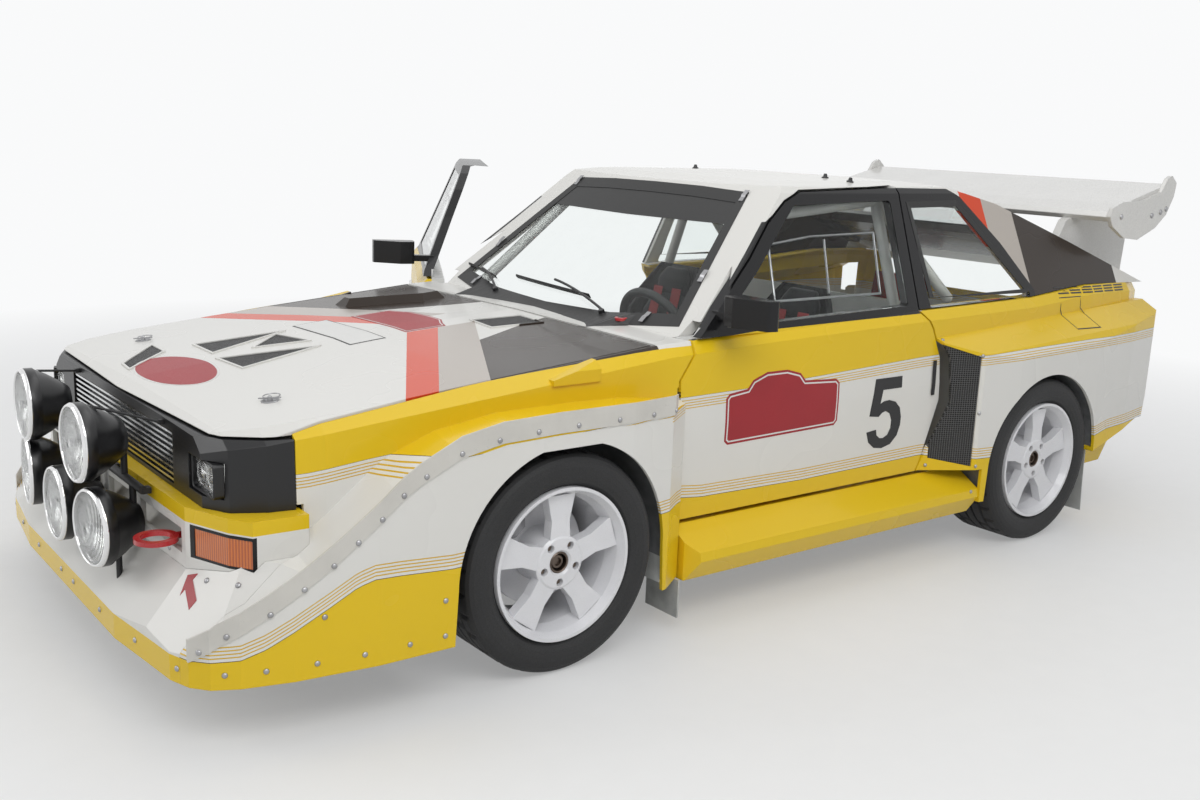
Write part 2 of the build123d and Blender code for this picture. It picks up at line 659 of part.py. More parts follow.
# Deflector strips: a thin sheet standing along the top edge of each front flare.
# Columns: x, z of the sheet's lower edge
strip_height = 57.0
strip_wall = 4.0
strip_edge = [
    (dam_x - 54, 233), (dam_x - 102, 273), (dam_x - 156, 303), (front_axle_x + 843, 338),
    (front_axle_x + 787, 375), (front_axle_x + 731, 412), (front_axle_x + 676, 451),
    (front_axle_x + 619, 496), (front_axle_x + 571, 535), (front_axle_x + 514, 582),
    (front_axle_x + 465, 613), (front_axle_x + 347, 668), (front_axle_x + 224, 691),
    (front_axle_x + 47, 696), (front_axle_x - 393, 694),
]
strip_face = outline(strip_edge + [(x, z + strip_height) for x, z in reversed(strip_edge)])
strip_plan = outline(front_plan)
strip_shell = upright(offset(strip_plan, seal_gap + strip_wall, kind=Kind.INTERSECTION), 0, 900) - upright(
    offset(strip_plan, seal_gap, kind=Kind.INTERSECTION), 0, 900)
deflector = strip_shell & across(strip_face, 0, 1000)

# Rear quarters with their box flares
board_rear_x = rear_axle_x + 365
rear_plan = [
    (door_rear_x - 20, 600), (door_rear_x - 20, side_y - 4), (rear_axle_x + 400, 904),
    (rear_axle_x + 210, 925), (rear_axle_x - 300, 926), (rear_axle_x - 560, 908),
    (rear_axle_x - 760, 876), (tail_x - 20, 820), (tail_x - 20, 600),
]
rear_top_z = 728.0
rear_rise = 0.05
rear_arch_radius = arch_half - 16


def rear_form(inset):
    """Left rear flare, drawn inwards by inset."""
    plan = outline(rear_plan)
    half = outline([
        (600, 100), (935, 100), (935, 690), (905, rear_top_z + 14),
        (side_y - 8, rear_top_z + 78), (600, rear_top_z + 78),
    ])
    side = outline([
        (door_rear_x, 210), (door_rear_x, 900), (tail_x + 16, 900), (tail_x + 50, 700),
        (tail_x + 108, 400), (tail_x + 170, 400), (rear_axle_x - 356, 318), (rear_axle_x, 200),
    ])
    if inset:
        plan = offset(plan, -inset, kind=Kind.INTERSECTION)
        half = offset(half, -inset, kind=Kind.INTERSECTION)
        side = offset(side, -inset, kind=Kind.INTERSECTION)
    run = Vector(-1, 0, rear_rise)
    lofty = extrude(yz_plane(-500) * half, amount=1560 * run.length, dir=run)
    return upright(plan, 100, 1000) & lofty & across(side, 500, 1000)


rear_arch = arch_cut(rear_axle_x, rear_arch_radius, tyre_radius + arch_gap, 620, 1000)
below_belt = across(outline(belt_line + [(tail_x - 20, 0), (cabin_reach_x, 0)]), -1000, 1000)
quarter_zone = box(tail_x + 60, door_rear_x + 100, 700, 1000, ground_clearance + 20, 1000)
rear_flare = (rear_form(0) & box(tail_x + 60, door_rear_x, side_y - 40, 1000, 0, 1000)) - body(skin)
quarter = (body_skin & quarter_zone & below_belt) + rear_flare
quarter = quarter - (rear_form(skin) & box(-far, far, 500, 1000, -100, 900))
quarter = quarter - rear_arch - door_opening
quarter = quarter - box(board_rear_x - seal_gap, far, 500, 1000, 0, sill_z)
quarter = quarter - box(rear_axle_x + 300, far, 500, side_y - 20, 0, sill_z)

# Side intake: the slanted mouth ahead of the rear wheel takes a mesh panel
mouth = outline([
    (door_rear_x - 46, sill_z + 46), (door_rear_x - 46, 792), (door_rear_x - 192, 744),
    (door_rear_x - 192, sill_z + 14)])
quarter = quarter - across(mouth, side_y - 40, 1000)
side_grille = (rear_form(3) - rear_form(9)) & across(offset(mouth, -seal_gap), side_y - 30, 1000)
side_grille = side_grille - door_opening

# Rear panel with the tail lamps let into it
tail_half = 700.0
tail_skirt_z = 240.0
tail_lamp_inner_y = 320.0
tail_lamp_outer_y = 660.0
tail_lamp_low_z = 700.0
tail_lamp_high_z = 830.0
rear_panel = body_skin & (
    box(tail_x - 10, tail_x + 60 - seal_gap, -1000, 1000, tail_skirt_z, belt_z + 34)
    + box(tail_x, tail_x + 160, -tail_half + seal_gap, tail_half - seal_gap, tail_skirt_z, 620))
tail_hole = box(
    tail_x - 20, tail_x + 60, tail_lamp_inner_y, tail_lamp_outer_y, tail_lamp_low_z, tail_lamp_high_z)
rear_panel = rear_panel - lid_prism(panel_gap, 0) - tail_hole - y_mirror(tail_hole)
tail_lamp = (body(-6) - body(skin)) & box(
    tail_x - 20, tail_x + 60, tail_lamp_inner_y + seal_gap, tail_lamp_outer_y - seal_gap,
    tail_lamp_low_z + seal_gap, tail_lamp_high_z - seal_gap)

# Rear bumper: a shallow shell across the tail
rear_bumper_low_z = 410.0
rear_bumper_high_z = 520.0
rear_bumper = upright(outline([
    (tail_x + 110, -720), (tail_x + 14, -700), (tail_x - 22, -560), (tail_x - 30, 0), (tail_x - 22, 560),
    (tail_x + 14, 700), (tail_x + 110, 720)]), rear_bumper_low_z, rear_bumper_high_z) - body(-seal_gap)
rear_bumper = rear_bumper & (
    box(tail_x - 60, tail_x + 60 - seal_gap, -900, 900, 400, 600)
    + box(tail_x - 60, tail_x + 120, -tail_half + seal_gap, tail_half - seal_gap, 400, 600))

# Floor, sills and bulkheads
floor_wall = 25.0
sill_y = 700.0
well_half = 512.0
rear_well_half = 636.0
bulkhead_x = pillar_front_x
rear_bulkhead_x = rear_axle_x + 380
floor_z = ground_clearance
front_well_x = front_axle_x - arch_half - 40
rear_well_x = rear_axle_x + arch_half + 30
floor_pan = upright(outline([
    (nose_x - 60, -well_half), (nose_x - 60, well_half), (front_well_x, well_half),
    (front_well_x, side_y - 96), (rear_well_x, side_y - 96), (rear_well_x, rear_well_half),
    (tail_x + 150, rear_well_half), (tail_x + 150, -rear_well_half), (rear_well_x, -rear_well_half),
    (rear_well_x, -side_y + 96), (front_well_x, -side_y + 96), (front_well_x, -well_half),
]), floor_z, floor_z + floor_wall)
floor_top_z = floor_z + floor_wall
tunnel_half = 130.0
tunnel_top_z = floor_z + 210
tunnel = box(
    rear_bulkhead_x + seal_gap, bulkhead_x - seal_gap, -tunnel_half, tunnel_half,
    floor_top_z - 1, tunnel_top_z)
sill = box(rear_well_x + seal_gap, front_well_x, sill_y, side_y - 84, floor_z, sill_z - 24)
shell_fit = body(skin + seal_gap)
rear_flange = box(tail_x + 90, tail_x + 150, -well_half, well_half, floor_z, sill_z) & shell_fit
panel_wall = 12.0
rail_inner_y = 400.0
rail_outer_y = 450.0
rail_top_z = 290.0
rail_break = 170.0
rail = box(
    bulkhead_x + bulkhead_wall + seal_gap, front_panel_x - panel_wall - seal_gap,
    rail_inner_y, rail_outer_y, floor_top_z - 1, rail_top_z)
rail = rail - box(
    front_axle_x - rail_break, front_axle_x + rail_break, rail_inner_y - 10, rail_outer_y + 10,
    0, rail_top_z + 10)
floor_pan = floor_pan + tunnel + rear_flange
for piece in (sill, rail):
    floor_pan = floor_pan + piece + y_mirror(piece)

# Bulkheads standing on the floor; the front one carries the door and hood hinges
stand_z = floor_top_z + seal_gap
sill_clear = box(-far, far, sill_y - seal_gap, 1000, 0, sill_z - 24 + seal_gap)
bulkhead = box(bulkhead_x, bulkhead_x + bulkhead_wall, -900, 900, stand_z, bulkhead_top_z) & shell_fit
for piece in hinge_pins + [hood_arm]:
    bulkhead = bulkhead + piece + y_mirror(piece)
bulkhead = bulkhead - sill_clear - y_mirror(sill_clear)
board_space = box(-far, far, side_y - 84, 1000, 0, sill_z - 14)
rear_keep_out = door_prism(shut_gap, 600, 1000) + board_space
rear_bulkhead = box(rear_bulkhead_x - panel_wall, rear_bulkhead_x, -900, 900, stand_z, 880) & shell_fit
rear_bulkhead = rear_bulkhead - rear_keep_out - y_mirror(rear_keep_out)
front_panel = box(front_panel_x - panel_wall, front_panel_x, -900, 900, stand_z, header_top_z - 4)
bumper_ends = bumper_form(-seal_gap) - bumper_form(bumper_wall + seal_gap)
bumper_ends = bumper_ends - box(0, far, -700 + seal_gap, 700 - seal_gap, 0, 900)
front_panel = (front_panel & body(header_wall + seal_gap)) - bumper_ends

# Jacking pads under the sills, and feet under the arms and seats
jack_pad_height = 12.0
jack_pad_y = 660.0
jack_pad_xs = (front_well_x - 90, rear_well_x + 90)
for x in jack_pad_xs:
    jack_pad = box(x - 40, x + 40, jack_pad_y - 30, jack_pad_y + 30, floor_z - jack_pad_height, floor_z + 1)
    floor_pan = floor_pan + jack_pad + y_mirror(jack_pad)
arm_inner_y = 330.0
arm_low_z = tyre_radius - 124
for axle_x in (front_axle_x, rear_axle_x):
    for x in (axle_x - 128, axle_x + 128):
        pad = box(x - 26, x + 26, arm_inner_y + 2, arm_inner_y + 30, floor_top_z - 1, arm_low_z - seal_gap)
        floor_pan = floor_pan + pad + y_mirror(pad)

# Cowl between hood and windscreen, standing on the bulkhead
cowl_rear_x = door_front_x - 152
cowl_box = box(cowl_rear_x, hood_rear_x - hood_gap, -cowl_half, cowl_half, 760, 1000)
cowl = body_skin & cowl_box
cowl += body(2) & box(
    bulkhead_x + 2, bulkhead_x + bulkhead_wall, -cowl_half, cowl_half, bulkhead_top_z + seal_gap, 900)
cowl = cowl - cabin_outer - door_opening - y_mirror(door_opening)

# Running boards below the doors
board_front_x = flare_rear_x - panel_gap
board = along(outline([
    (side_y - 80, sill_z - 24), (side_y - 6, sill_z - 12), (900, 254), (904, 226), (860, floor_z),
    (side_y - 80, floor_z),
]), board_rear_x, board_front_x)
board = board - upright(outline([
    (board_front_x + 10, side_y + 40), (board_front_x + 10, 950), (board_front_x - 60, 950)]), 0, 500)

# Wheels
def tyre_at(x, y):
    half = tyre_width / 2
    ring = make_face(Polyline(
        (rim_radius + 0.0, -half + 22), (rim_radius + 26, -half + 6), (rim_radius + 52, -half),
        (tyre_radius - 22, -half + 6), (tyre_radius - 4, -half + 20), (tyre_radius, -half + 34),
        (tyre_radius, half - 34), (tyre_radius - 4, half - 20), (tyre_radius - 22, half - 6),
        (rim_radius + 52, half), (rim_radius + 26, half - 6), (rim_radius + 0.0, half - 22),
        (rim_radius + 0.0, -half + 22)))
    solid = revolve(Plane(origin=(0, 0, 0), x_dir=(1, 0, 0), z_dir=(0, 0, 1)) * ring, Axis.Y)
    return Pos(x, y, tyre_radius) * solid


hub_bore = 31.0
spoke_count = 5
spoke_face = 96.0


def rim_at(x, y):
    """Left-hand wheel: barrel, five spokes, centre bore and lug recesses."""
    half = rim_width / 2
    barrel = make_face(Polyline(
        (rim_radius - 0.3, -half), (rim_radius - 0.3, half + 4), (rim_radius - 10, half + 4),
        (rim_radius - 22, half - 20), (rim_radius - 34, half - 60), (rim_radius - 38, -half + 20),
        (rim_radius - 12, -half), (rim_radius - 0.3, -half)))
    solid = revolve(barrel, Axis.Y)
    centre = make_face(Polyline(
        (hub_bore, spoke_face - 66), (78, spoke_face - 66), (78, spoke_face - 6), (70, spoke_face),
        (hub_bore + 6, spoke_face), (hub_bore, spoke_face - 6), (hub_bore, spoke_face - 66)))
    solid += revolve(centre, Axis.Y)
    arm = extrude(xz_plane(spoke_face - 4) * outline([
        (-34, 60), (-30, 120), (-46, rim_radius - 26), (46, rim_radius - 26), (30, 120), (34, 60)]),
        amount=34, dir=(0, -1, 0))
    for n in range(spoke_count):
        solid += arm.rotate(Axis.Y, 360 / spoke_count * n)
    lug = Pos(0, spoke_face, 56) * Rot(90, 0, 0) * Cylinder(11, 28)
    for n in range(spoke_count):
        solid -= lug.rotate(Axis.Y, 360 / spoke_count * (n + 0.5))
    disc = make_face(Polyline(
        (hub_bore, -42), (150, -42), (150, -18), (78, -18), (78, spoke_face - 66),
        (hub_bore, spoke_face - 66), (hub_bore, -42)))
    solid += revolve(disc, Axis.Y)
    return Pos(x, y, tyre_radius) * solid


# Hub carriers: spindle, upright with kingpin bores, caliper and steering arm
kingpin_inset = 64.0
kingpin_radius = 8.0
kingpin_y = wheel_centre_y - kingpin_inset


def carrier_at(x, y):
    solid = Pos(0, 8, 0) * Rot(90, 0, 0) * Cylinder(hub_bore - bead_gap, 116)
    solid += box(-46, 46, -89, -48, -92, 96)
    solid += Pos(0, -56, 0) * Rot(90, 0, 0) * Cylinder(46, 20)
    caliper = across(outline([(84, 62), (156, 50), (142, 100), (104, 138), (60, 158), (56, 88)]), -62, 2)
    solid += caliper - Pos(0, -30, 0) * Rot(90, 0, 0) * Cylinder(156, 34)
    solid += box(40, 80, -84, -60, 40, 90)
    for z in (-92, 96):
        solid -= Pos(0, -kingpin_inset, z) * Cylinder(kingpin_radius + pin_play, 60)
    return Pos(x, y, tyre_radius) * solid


carrier_left = carrier_at(front_axle_x, wheel_centre_y)
rear_carrier = carrier_at(rear_axle_x, wheel_centre_y)


def corner_links(x, strut_top_z, shaft_end_y):
    """Lower arm, strut and drive shaft of the left wheel on the axle at x."""
    tip = kingpin_y - 30
    arm = upright(outline([
        (x - 150, arm_inner_y), (x - 110, arm_inner_y), (x, tip - 60), (x + 110, arm_inner_y),
        (x + 150, arm_inner_y), (x + 20, tip), (x + 12, kingpin_y + 8), (x - 12, kingpin_y + 8),
        (x - 20, tip)]), arm_low_z, arm_low_z + 28)
    arm += Pos(x, kingpin_y, arm_low_z + 14) * Cylinder(15, 28)
    arm += Pos(x, kingpin_y, arm_low_z + 40) * Cylinder(kingpin_radius, 34)
    shaft = tube((x, housing_half + seal_gap, tyre_radius), (x, shaft_end_y, tyre_radius), 16)
    shaft += tube((x, shaft_end_y - 34, tyre_radius), (x, shaft_end_y, tyre_radius), 34)
    foot_z = tyre_radius + 100
    strut = tube((x, 610, foot_z), (x, 565, strut_top_z - seal_gap), 27)
    strut = strut & box(x - 60, x + 60, 400, 700, foot_z, strut_top_z - seal_gap)
    strut += box(x - 20, x + 20, 600, kingpin_y, foot_z, foot_z + 16)
    strut += Pos(x, kingpin_y, foot_z + 8) * Cylinder(16, 16)
    strut += Pos(x, kingpin_y, foot_z - 8) * Cylinder(kingpin_radius, 34)
    return [arm, shaft, strut]


tower_z = 764.0
rear_shelf_z = 655.0
housing_half = 129.0
housing_top_z = 400.0
front_links = corner_links(front_axle_x, tower_z, 674)
rear_links = corner_links(rear_axle_x, rear_shelf_z, wheel_centre_y - 89 - seal_gap)
front_housing = box(
    front_axle_x - 110, front_axle_x + 110, -housing_half, housing_half, stand_z, housing_top_z)
rear_housing = box(
    rear_axle_x - 130, rear_axle_x + 130, -housing_half, housing_half, stand_z, housing_top_z)

# Wheel housings: a liner over each wheel with its inner wall
liner_wall = 6.0
liner_outer_y = 904.0
shaft_slot_half = 105.0
strut_y = 570.0
tower_radius = 66.0


def liner_at(x, radius, wall_y, outer_y):
    ring = Pos(x, tyre_radius) * (Circle(radius) - Circle(radius - liner_wall))
    liner = across(ring, wall_y, outer_y)
    liner += across(Pos(x, tyre_radius) * Circle(radius), wall_y, wall_y + liner_wall)
    liner = liner & box(x - 600, x + 600, 0, 1000, floor_z + 30, 1000)
    return liner - box(x - shaft_slot_half, x + shaft_slot_half, wall_y - 10, wall_y + 20, 0, 350)


tower_foot = Pos(front_axle_x, strut_y, 0)
front_liner = liner_at(front_axle_x, arch_half + 30, well_half + seal_gap, liner_outer_y)
front_liner = front_liner + tower_foot * upright(Circle(tower_radius), 640, tower_z + liner_wall)
front_liner = front_liner - tower_foot * upright(Circle(tower_radius - liner_wall), 600, tower_z)
front_liner = front_liner & (body(skin + seal_gap) + front_form(skin + seal_gap))
rear_liner = liner_at(rear_axle_x, arch_half, rear_well_half + seal_gap, liner_outer_y)
rear_liner += box(
    rear_axle_x - 40, rear_axle_x + 40, 525, rear_well_half + 4, rear_shelf_z, rear_shelf_z + liner_wall)
rear_liner = rear_liner - box(
    rear_axle_x - shaft_slot_half, rear_axle_x + shaft_slot_half, 600, 660, 0, 440)
rear_liner = rear_liner & (body(skin + seal_gap) + rear_form(skin + seal_gap))

# Mud flaps behind the wheels
flap_low_z = 48.0
flap_inner_y = side_y - 83
flap_outer_y = 866.0
flap_zone = front_form(skin + seal_gap) + box(0, front_axle_x, 600, 900, 0, dam_bottom_z - seal_gap)
front_flap = flap_zone & box(
    flare_rear_x + skin + seal_gap, flare_rear_x + skin + 6, flap_inner_y, flap_outer_y, flap_low_z, 330)

engine_half = 180.0
engine_top_z = 690.0
engine_block = box(
    front_axle_x + 130, front_axle_x + 700, -engine_half, engine_half, stand_z, engine_top_z)
exhaust_y = -170.0
exhaust_z = 130.0
exhaust_radius = 28.0
hanger_xs = (front_axle_x - 712, -300, rear_axle_x + 112, tail_x + 170)
exhaust = tube_run([
    (front_axle_x - 612, exhaust_y, exhaust_z), (tail_x + 70, exhaust_y, exhaust_z)], exhaust_radius)
for x in hanger_xs:
    exhaust += box(x - 12, x + 12, exhaust_y - 16, exhaust_y + 16, exhaust_z, floor_z - seal_gap)

# Cabin: seats, dashboard, cage and steering
seat_y = 350.0
seat_x = -120.0
seat_back_z = 900.0
seat_half = 205.0
seat_low_z = 240.0
bolster_wall = 41.0


def seat_profile(points, half_in, half_out):
    return across(outline(points), seat_y + half_in, seat_y + half_out)


seat = seat_profile([
    (seat_x + 320, seat_low_z), (seat_x + 330, 350), (seat_x - 40, 320), (seat_x - 190, 760),
    (seat_x - 215, seat_back_z + 60), (seat_x - 300, seat_back_z + 50), (seat_x - 275, 760),
    (seat_x - 200, seat_low_z)], -seat_half + bolster_wall - 1, seat_half - bolster_wall + 1)
bolster = [
    (seat_x + 320, seat_low_z), (seat_x + 330, 400), (seat_x + 20, 430), (seat_x - 30, 560),
    (seat_x - 80, 780), (seat_x - 180, 830), (seat_x - 285, 830), (seat_x - 275, 760),
    (seat_x - 200, seat_low_z)]
seat += seat_profile(bolster, -seat_half, -seat_half + bolster_wall)
seat += seat_profile(bolster, seat_half - bolster_wall, seat_half)
for x in (seat_x - 150, seat_x + 250):
    for s in (-1, 1):
        seat_foot = box(
            x - 25, x + 25, seat_y + s * 150 - 15, seat_y + s * 150 + 15,
            floor_top_z - 1, seat_low_z - seal_gap)
        floor_pan = floor_pan + seat_foot + y_mirror(seat_foot)

dash_x = bulkhead_x - seal_gap
dash_half = 585.0
dashboard = across(outline([
    (dash_x, 620), (dash_x, 800), (bulkhead_x - 110, 812), (bulkhead_x - 230, 780),
    (bulkhead_x - 210, 640)]), -dash_half, dash_half)

cage_tube = 20.0
cage_y = 640.0
hoop_x = rear_axle_x + 590
cage_foot_z = stand_z + cage_tube
cage_top_z = roof_z - 80
roll_cage = tube_run([
    (hoop_x, cage_y, cage_foot_z), (hoop_x, cage_y, 860), (hoop_x - 10, 490, cage_top_z),
    (hoop_x - 10, -490, cage_top_z), (hoop_x, -cage_y, 860), (hoop_x, -cage_y, cage_foot_z)], cage_tube)
for s in (1, -1):
    roll_cage += tube_run([
        (bulkhead_x - 110, s * cage_y, cage_foot_z), (bulkhead_x - 110, s * cage_y, 760),
        (bulkhead_x - 530, s * 470, rail_height(0.758)), (hoop_x - 10, s * 490, cage_top_z),
        (rear_bulkhead_x - 180, s * 560, 900)], cage_tube)

# Steering column ending in the spindle that carries the steering wheel
wheel_hub = (bulkhead_x - 330, seat_y, 800)
steering_lean = 24.0
steering_axis = Vector(-cos(radians(steering_lean)), 0, sin(radians(steering_lean)))
hub_point = Vector(*wheel_hub)
dashboard += tube(tuple(hub_point - steering_axis * 330), tuple(hub_point - steering_axis * 16), 18)
dashboard += tube(tuple(hub_point - steering_axis * 20), tuple(hub_point + steering_axis * 10), lug_pin * 2)

# Wing: blade between two end plates, carried on two fins.
# Points run from the tail and the roof: x behind or ahead of it, z above or below it
wing_half = 786.0


def wing_outline(points, radius=0):
    return outline([(tail_x + x, roof_z + z) for x, z in points], radius)


blade = across(wing_outline([
    (352, -148), (368, -130), (352, -110), (264, -82), (114, -44), (-72, 2),
    (-72, -10), (114, -68), (264, -116)], 3), -wing_half + 16, wing_half - 16)
end_plate = across(wing_outline([
    (368, -128), (352, -93), (284, -71), (119, -63), (6, -32), (-33, 23),
    (-65, 36), (-105, 5), (-96, -50), (-53, -123), (21, -177), (148, -223),
    (250, -214), (343, -167)], 8), wing_half - 17, wing_half)
fin_y = 590.0
fin = across(wing_outline([
    (452, -264), (388, -157), (270, -106), (114, -68), (4, -44), (-70, -244),
    (-55, -415), (0, -444), (264, -344)]), fin_y - 18, fin_y + 18)
wing = blade + end_plate + y_mirror(end_plate) + ((fin + y_mirror(fin)) - cabin_outer)

steering_wheel = Pos(*wheel_hub) * Rot(0, steering_lean - 90, 0) * (
    Torus(172, 15) + Cylinder(34, 22) + Box(30, 330, 8) + Pos(-80, 0, 0) * Box(160, 30, 8)
    - Cylinder(lug_pin * 2 + pin_play, 60))

# The right door stands open as it was left, turned about its hinge line
right_hinge = Axis((hinge_x, -hinge_y, 0), (0, 0, 1))


def opened(shape):
    return shape.rotate(right_hinge, right_door_open)


# Solids by node; like pieces of one body share a node
nodes = {
    "floor_pan": [floor_pan],
    "bulkheads": [bulkhead, rear_bulkhead, front_panel],
    "front_fenders": pair(front_fender),
    "rear_quarters": pair(quarter),
    "roof_frame": [roof_frame],
    "cowl": [cowl],
    "nose_panel": [nose_panel],
    "rear_panel": [rear_panel],
    "windscreen": [windscreen],
    "rear_windows": [rear_window] + pair(quarter_window_left),
    "front_bumper": [bumper],
    "air_dam": [air_dam],
    "grille": [grille],
    "head_lamps": pair(head_lamp) + pair(marker),
    "driving_lamps": driving_lamps,
    "lamp_bar": [lamp_bar],
    "running_boards": pair(board),
    "dashboard": [dashboard],
    "roll_cage": [roll_cage],
    "seats": pair(seat),
    "engine_block": [engine_block],
    "suspension": [link for part in front_links + rear_links + [rear_carrier] for link in pair(part)] + [
        front_housing, rear_housing],
    "exhaust": [exhaust],
    "tail_lamps": pair(tail_lamp),
    "tow_eyes": [tow_ring, rear_tow],
    "deflector_strips": pair(deflector),
    "side_grilles": pair(side_grille),
    "rear_bumper": [rear_bumper],
    "wheel_housings": pair(front_liner) + pair(rear_liner) + pair(front_flap),
    "steering_wheel": [steering_wheel],
    "door_left": [door_left],
    "door_glass_left": [door_glass_left],
    "door_right": [opened(y_mirror(door_left))],
    "door_glass_right": [opened(y_mirror(door_glass_left))],
    "hood": [hood],
    "tail_lid": [tail_lid],
    "wing": [wing],
    "knuckle_left": [carrier_left],
    "knuckle_right": [y_mirror(carrier_left)],
}
for end, axle_x in [("front", front_axle_x), ("rear", rear_axle_x)]:
    rim = rim_at(axle_x, wheel_centre_y)
    tyre = tyre_at(axle_x, wheel_centre_y)
    nodes[f"rim_{end}_left"] = [rim]
    nodes[f"rim_{end}_right"] = [y_mirror(rim)]
    nodes[f"tyre_{end}_left"] = [tyre]
    nodes[f"tyre_{end}_right"] = [y_mirror(tyre)]

# The origin goes to the middle of the footprint, on the floor
solids = {name: [solid for piece in pieces for solid in piece.solids()] for name, pieces in nodes.items()}
whole = Compound([solid for group in solids.values() for solid in group]).bounding_box()
origin_shift = (-(whole.min.X + whole.max.X) / 2, -(whole.min.Y + whole.max.Y) / 2, -whole.min.Z)
print("origin shift", [round(value, 4) for value in origin_shift])

os.makedirs("parts", exist_ok=True)
for name, group in solids.items():
    export_step(Compound(group).moved(Location(origin_shift)), f"parts/{name}.step")
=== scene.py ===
from math import cos, exp, pi, radians, sin

import bmesh
import bpy
from mathutils import Matrix, Vector
from mathutils.bvhtree import BVHTree


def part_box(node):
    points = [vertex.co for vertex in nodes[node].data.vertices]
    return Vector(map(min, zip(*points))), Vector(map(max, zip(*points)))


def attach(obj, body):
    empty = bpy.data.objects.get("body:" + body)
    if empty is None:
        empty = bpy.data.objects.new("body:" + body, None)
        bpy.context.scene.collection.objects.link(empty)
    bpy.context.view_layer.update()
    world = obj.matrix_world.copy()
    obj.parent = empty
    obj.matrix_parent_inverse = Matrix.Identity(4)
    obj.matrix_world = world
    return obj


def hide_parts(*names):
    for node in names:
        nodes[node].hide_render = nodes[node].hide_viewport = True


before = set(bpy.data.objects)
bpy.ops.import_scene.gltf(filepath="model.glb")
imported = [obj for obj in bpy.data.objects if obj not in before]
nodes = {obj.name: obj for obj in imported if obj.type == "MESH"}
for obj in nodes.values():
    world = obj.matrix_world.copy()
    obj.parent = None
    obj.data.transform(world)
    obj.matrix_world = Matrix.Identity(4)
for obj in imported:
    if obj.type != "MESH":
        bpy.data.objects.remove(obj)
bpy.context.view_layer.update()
print("stage: frame loaded")

# The car's own frame: millimetres from the middle of the wheelbase, X ahead, Y to the left
carPlace = {"shift": (-0.0705071, 0.4442118, 0.0), "hubZ": 314.0, "doorHinge": (612.0, -788.0), "doorOpen": 62.0}
carShift = Vector(carPlace["shift"])
sides = (("Left", 1), ("Right", -1))
fromAbove, fromAhead, fromBehind = (0, 0, -1), (-1, 0, 0), (1, 0, 0)


def carPoint(x, y, z):
    return Vector((x, y, z)) / 1000 + carShift


def openedPoint(point):  # from the closed right door to where it stands open
    hinge = carPoint(*carPlace["doorHinge"], 0)
    return hinge + Matrix.Rotation(radians(carPlace["doorOpen"]), 3, "Z") @ (point - hinge)


def otherSide(part, opened=False):  # mirrored to the car's right; opened puts it on the open door
    vertices = [Vector((v.x, 2 * carShift.y - v.y, v.z)) for v in part[0]]
    return [openedPoint(v) for v in vertices] if opened else vertices, [face[::-1] for face in part[1]]


# Small mesh tools. A part is (vertices, faces), its points in metres in the model's frame
def addObject(name, data):
    made = bpy.data.objects.new(name, data)
    bpy.context.collection.objects.link(made)
    return made


def meshFrom(name, part):
    mesh = bpy.data.meshes.new(name)
    mesh.from_pydata([tuple(v) for v in part[0]], [], part[1])
    return mesh


def addPiece(name, part, finish, body="chassis", smooth=False):
    return finishPiece(name, meshFrom(name, part), finish, body, smooth)


def finishPiece(name, mesh, finish, body="chassis", smooth=False):
    mesh.materials.clear()
    mesh.materials.append(bpy.data.materials[finish])
    mesh.validate()
    work = bmesh.new()
    work.from_mesh(mesh)
    bmesh.ops.remove_doubles(work, verts=work.verts, dist=1e-6)
    bmesh.ops.recalc_face_normals(work, faces=work.faces)
    for face in work.faces:
        face.smooth = smooth
    work.to_mesh(mesh)
    work.free()
    piece = addObject(name, mesh)
    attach(piece, body)
    return piece


def addOnDoors(name, part, finish):  # made for the left door, mirrored for the open one
    addPiece(name + "Left", part, finish, "door_left")
    addPiece(name + "Right", otherSide(part, opened=True), finish, "door_right")


def meshOf(piece):  # the evaluated object as a plain mesh
    depsgraph = bpy.context.evaluated_depsgraph_get()
    mesh = bpy.data.meshes.new_from_object(piece.evaluated_get(depsgraph))
    bpy.data.objects.remove(piece)
    return mesh


def surfaceOf(*names):
    vertices, faces = gather([([v.co.copy() for v in nodes[name].data.vertices],
                               [tuple(p.vertices) for p in nodes[name].data.polygons]) for name in names])
    return BVHTree.FromPolygons(vertices, faces)


def landOn(ground, point, direction, lift=0.0):  # where a ray from outside meets the ground, lifted off it
    direction = Vector(direction).normalized()
    place, normal, index, distance = ground.ray_cast(point - direction * 3, direction)
    if place is None:
        return None, None
    if normal.dot(direction) > 0:
        normal = -normal
    return place + normal * lift, normal


def gather(parts):  # several parts as one
    vertices, faces = [], []
    for partVertices, partFaces in parts:
        start = len(vertices)
        vertices += partVertices
        faces += [tuple(start + i for i in face) for face in partFaces]
    return vertices, faces


def ordered(outline):  # a flat outline turned to run anticlockwise
    area = sum(a[0] * b[1] - b[0] * a[1] for a, b in zip(outline, outline[1:] + outline[:1]))
    return outline if area > 0 else outline[::-1]


def lathe(profile, centre, axis, segments=48):  # rows of (along the axis, radius) in millimetres, turned about it
    axis = Vector(axis).normalized()
    side = axis.orthogonal().normalized()
    up = axis.cross(side)
    loops = []
    for n in range(segments):
        spoke = side * cos(2 * pi * n / segments) + up * sin(2 * pi * n / segments)
        loops.append([centre + (axis * a + spoke * r) / 1000 for a, r in profile])
    return skinLoops(loops)


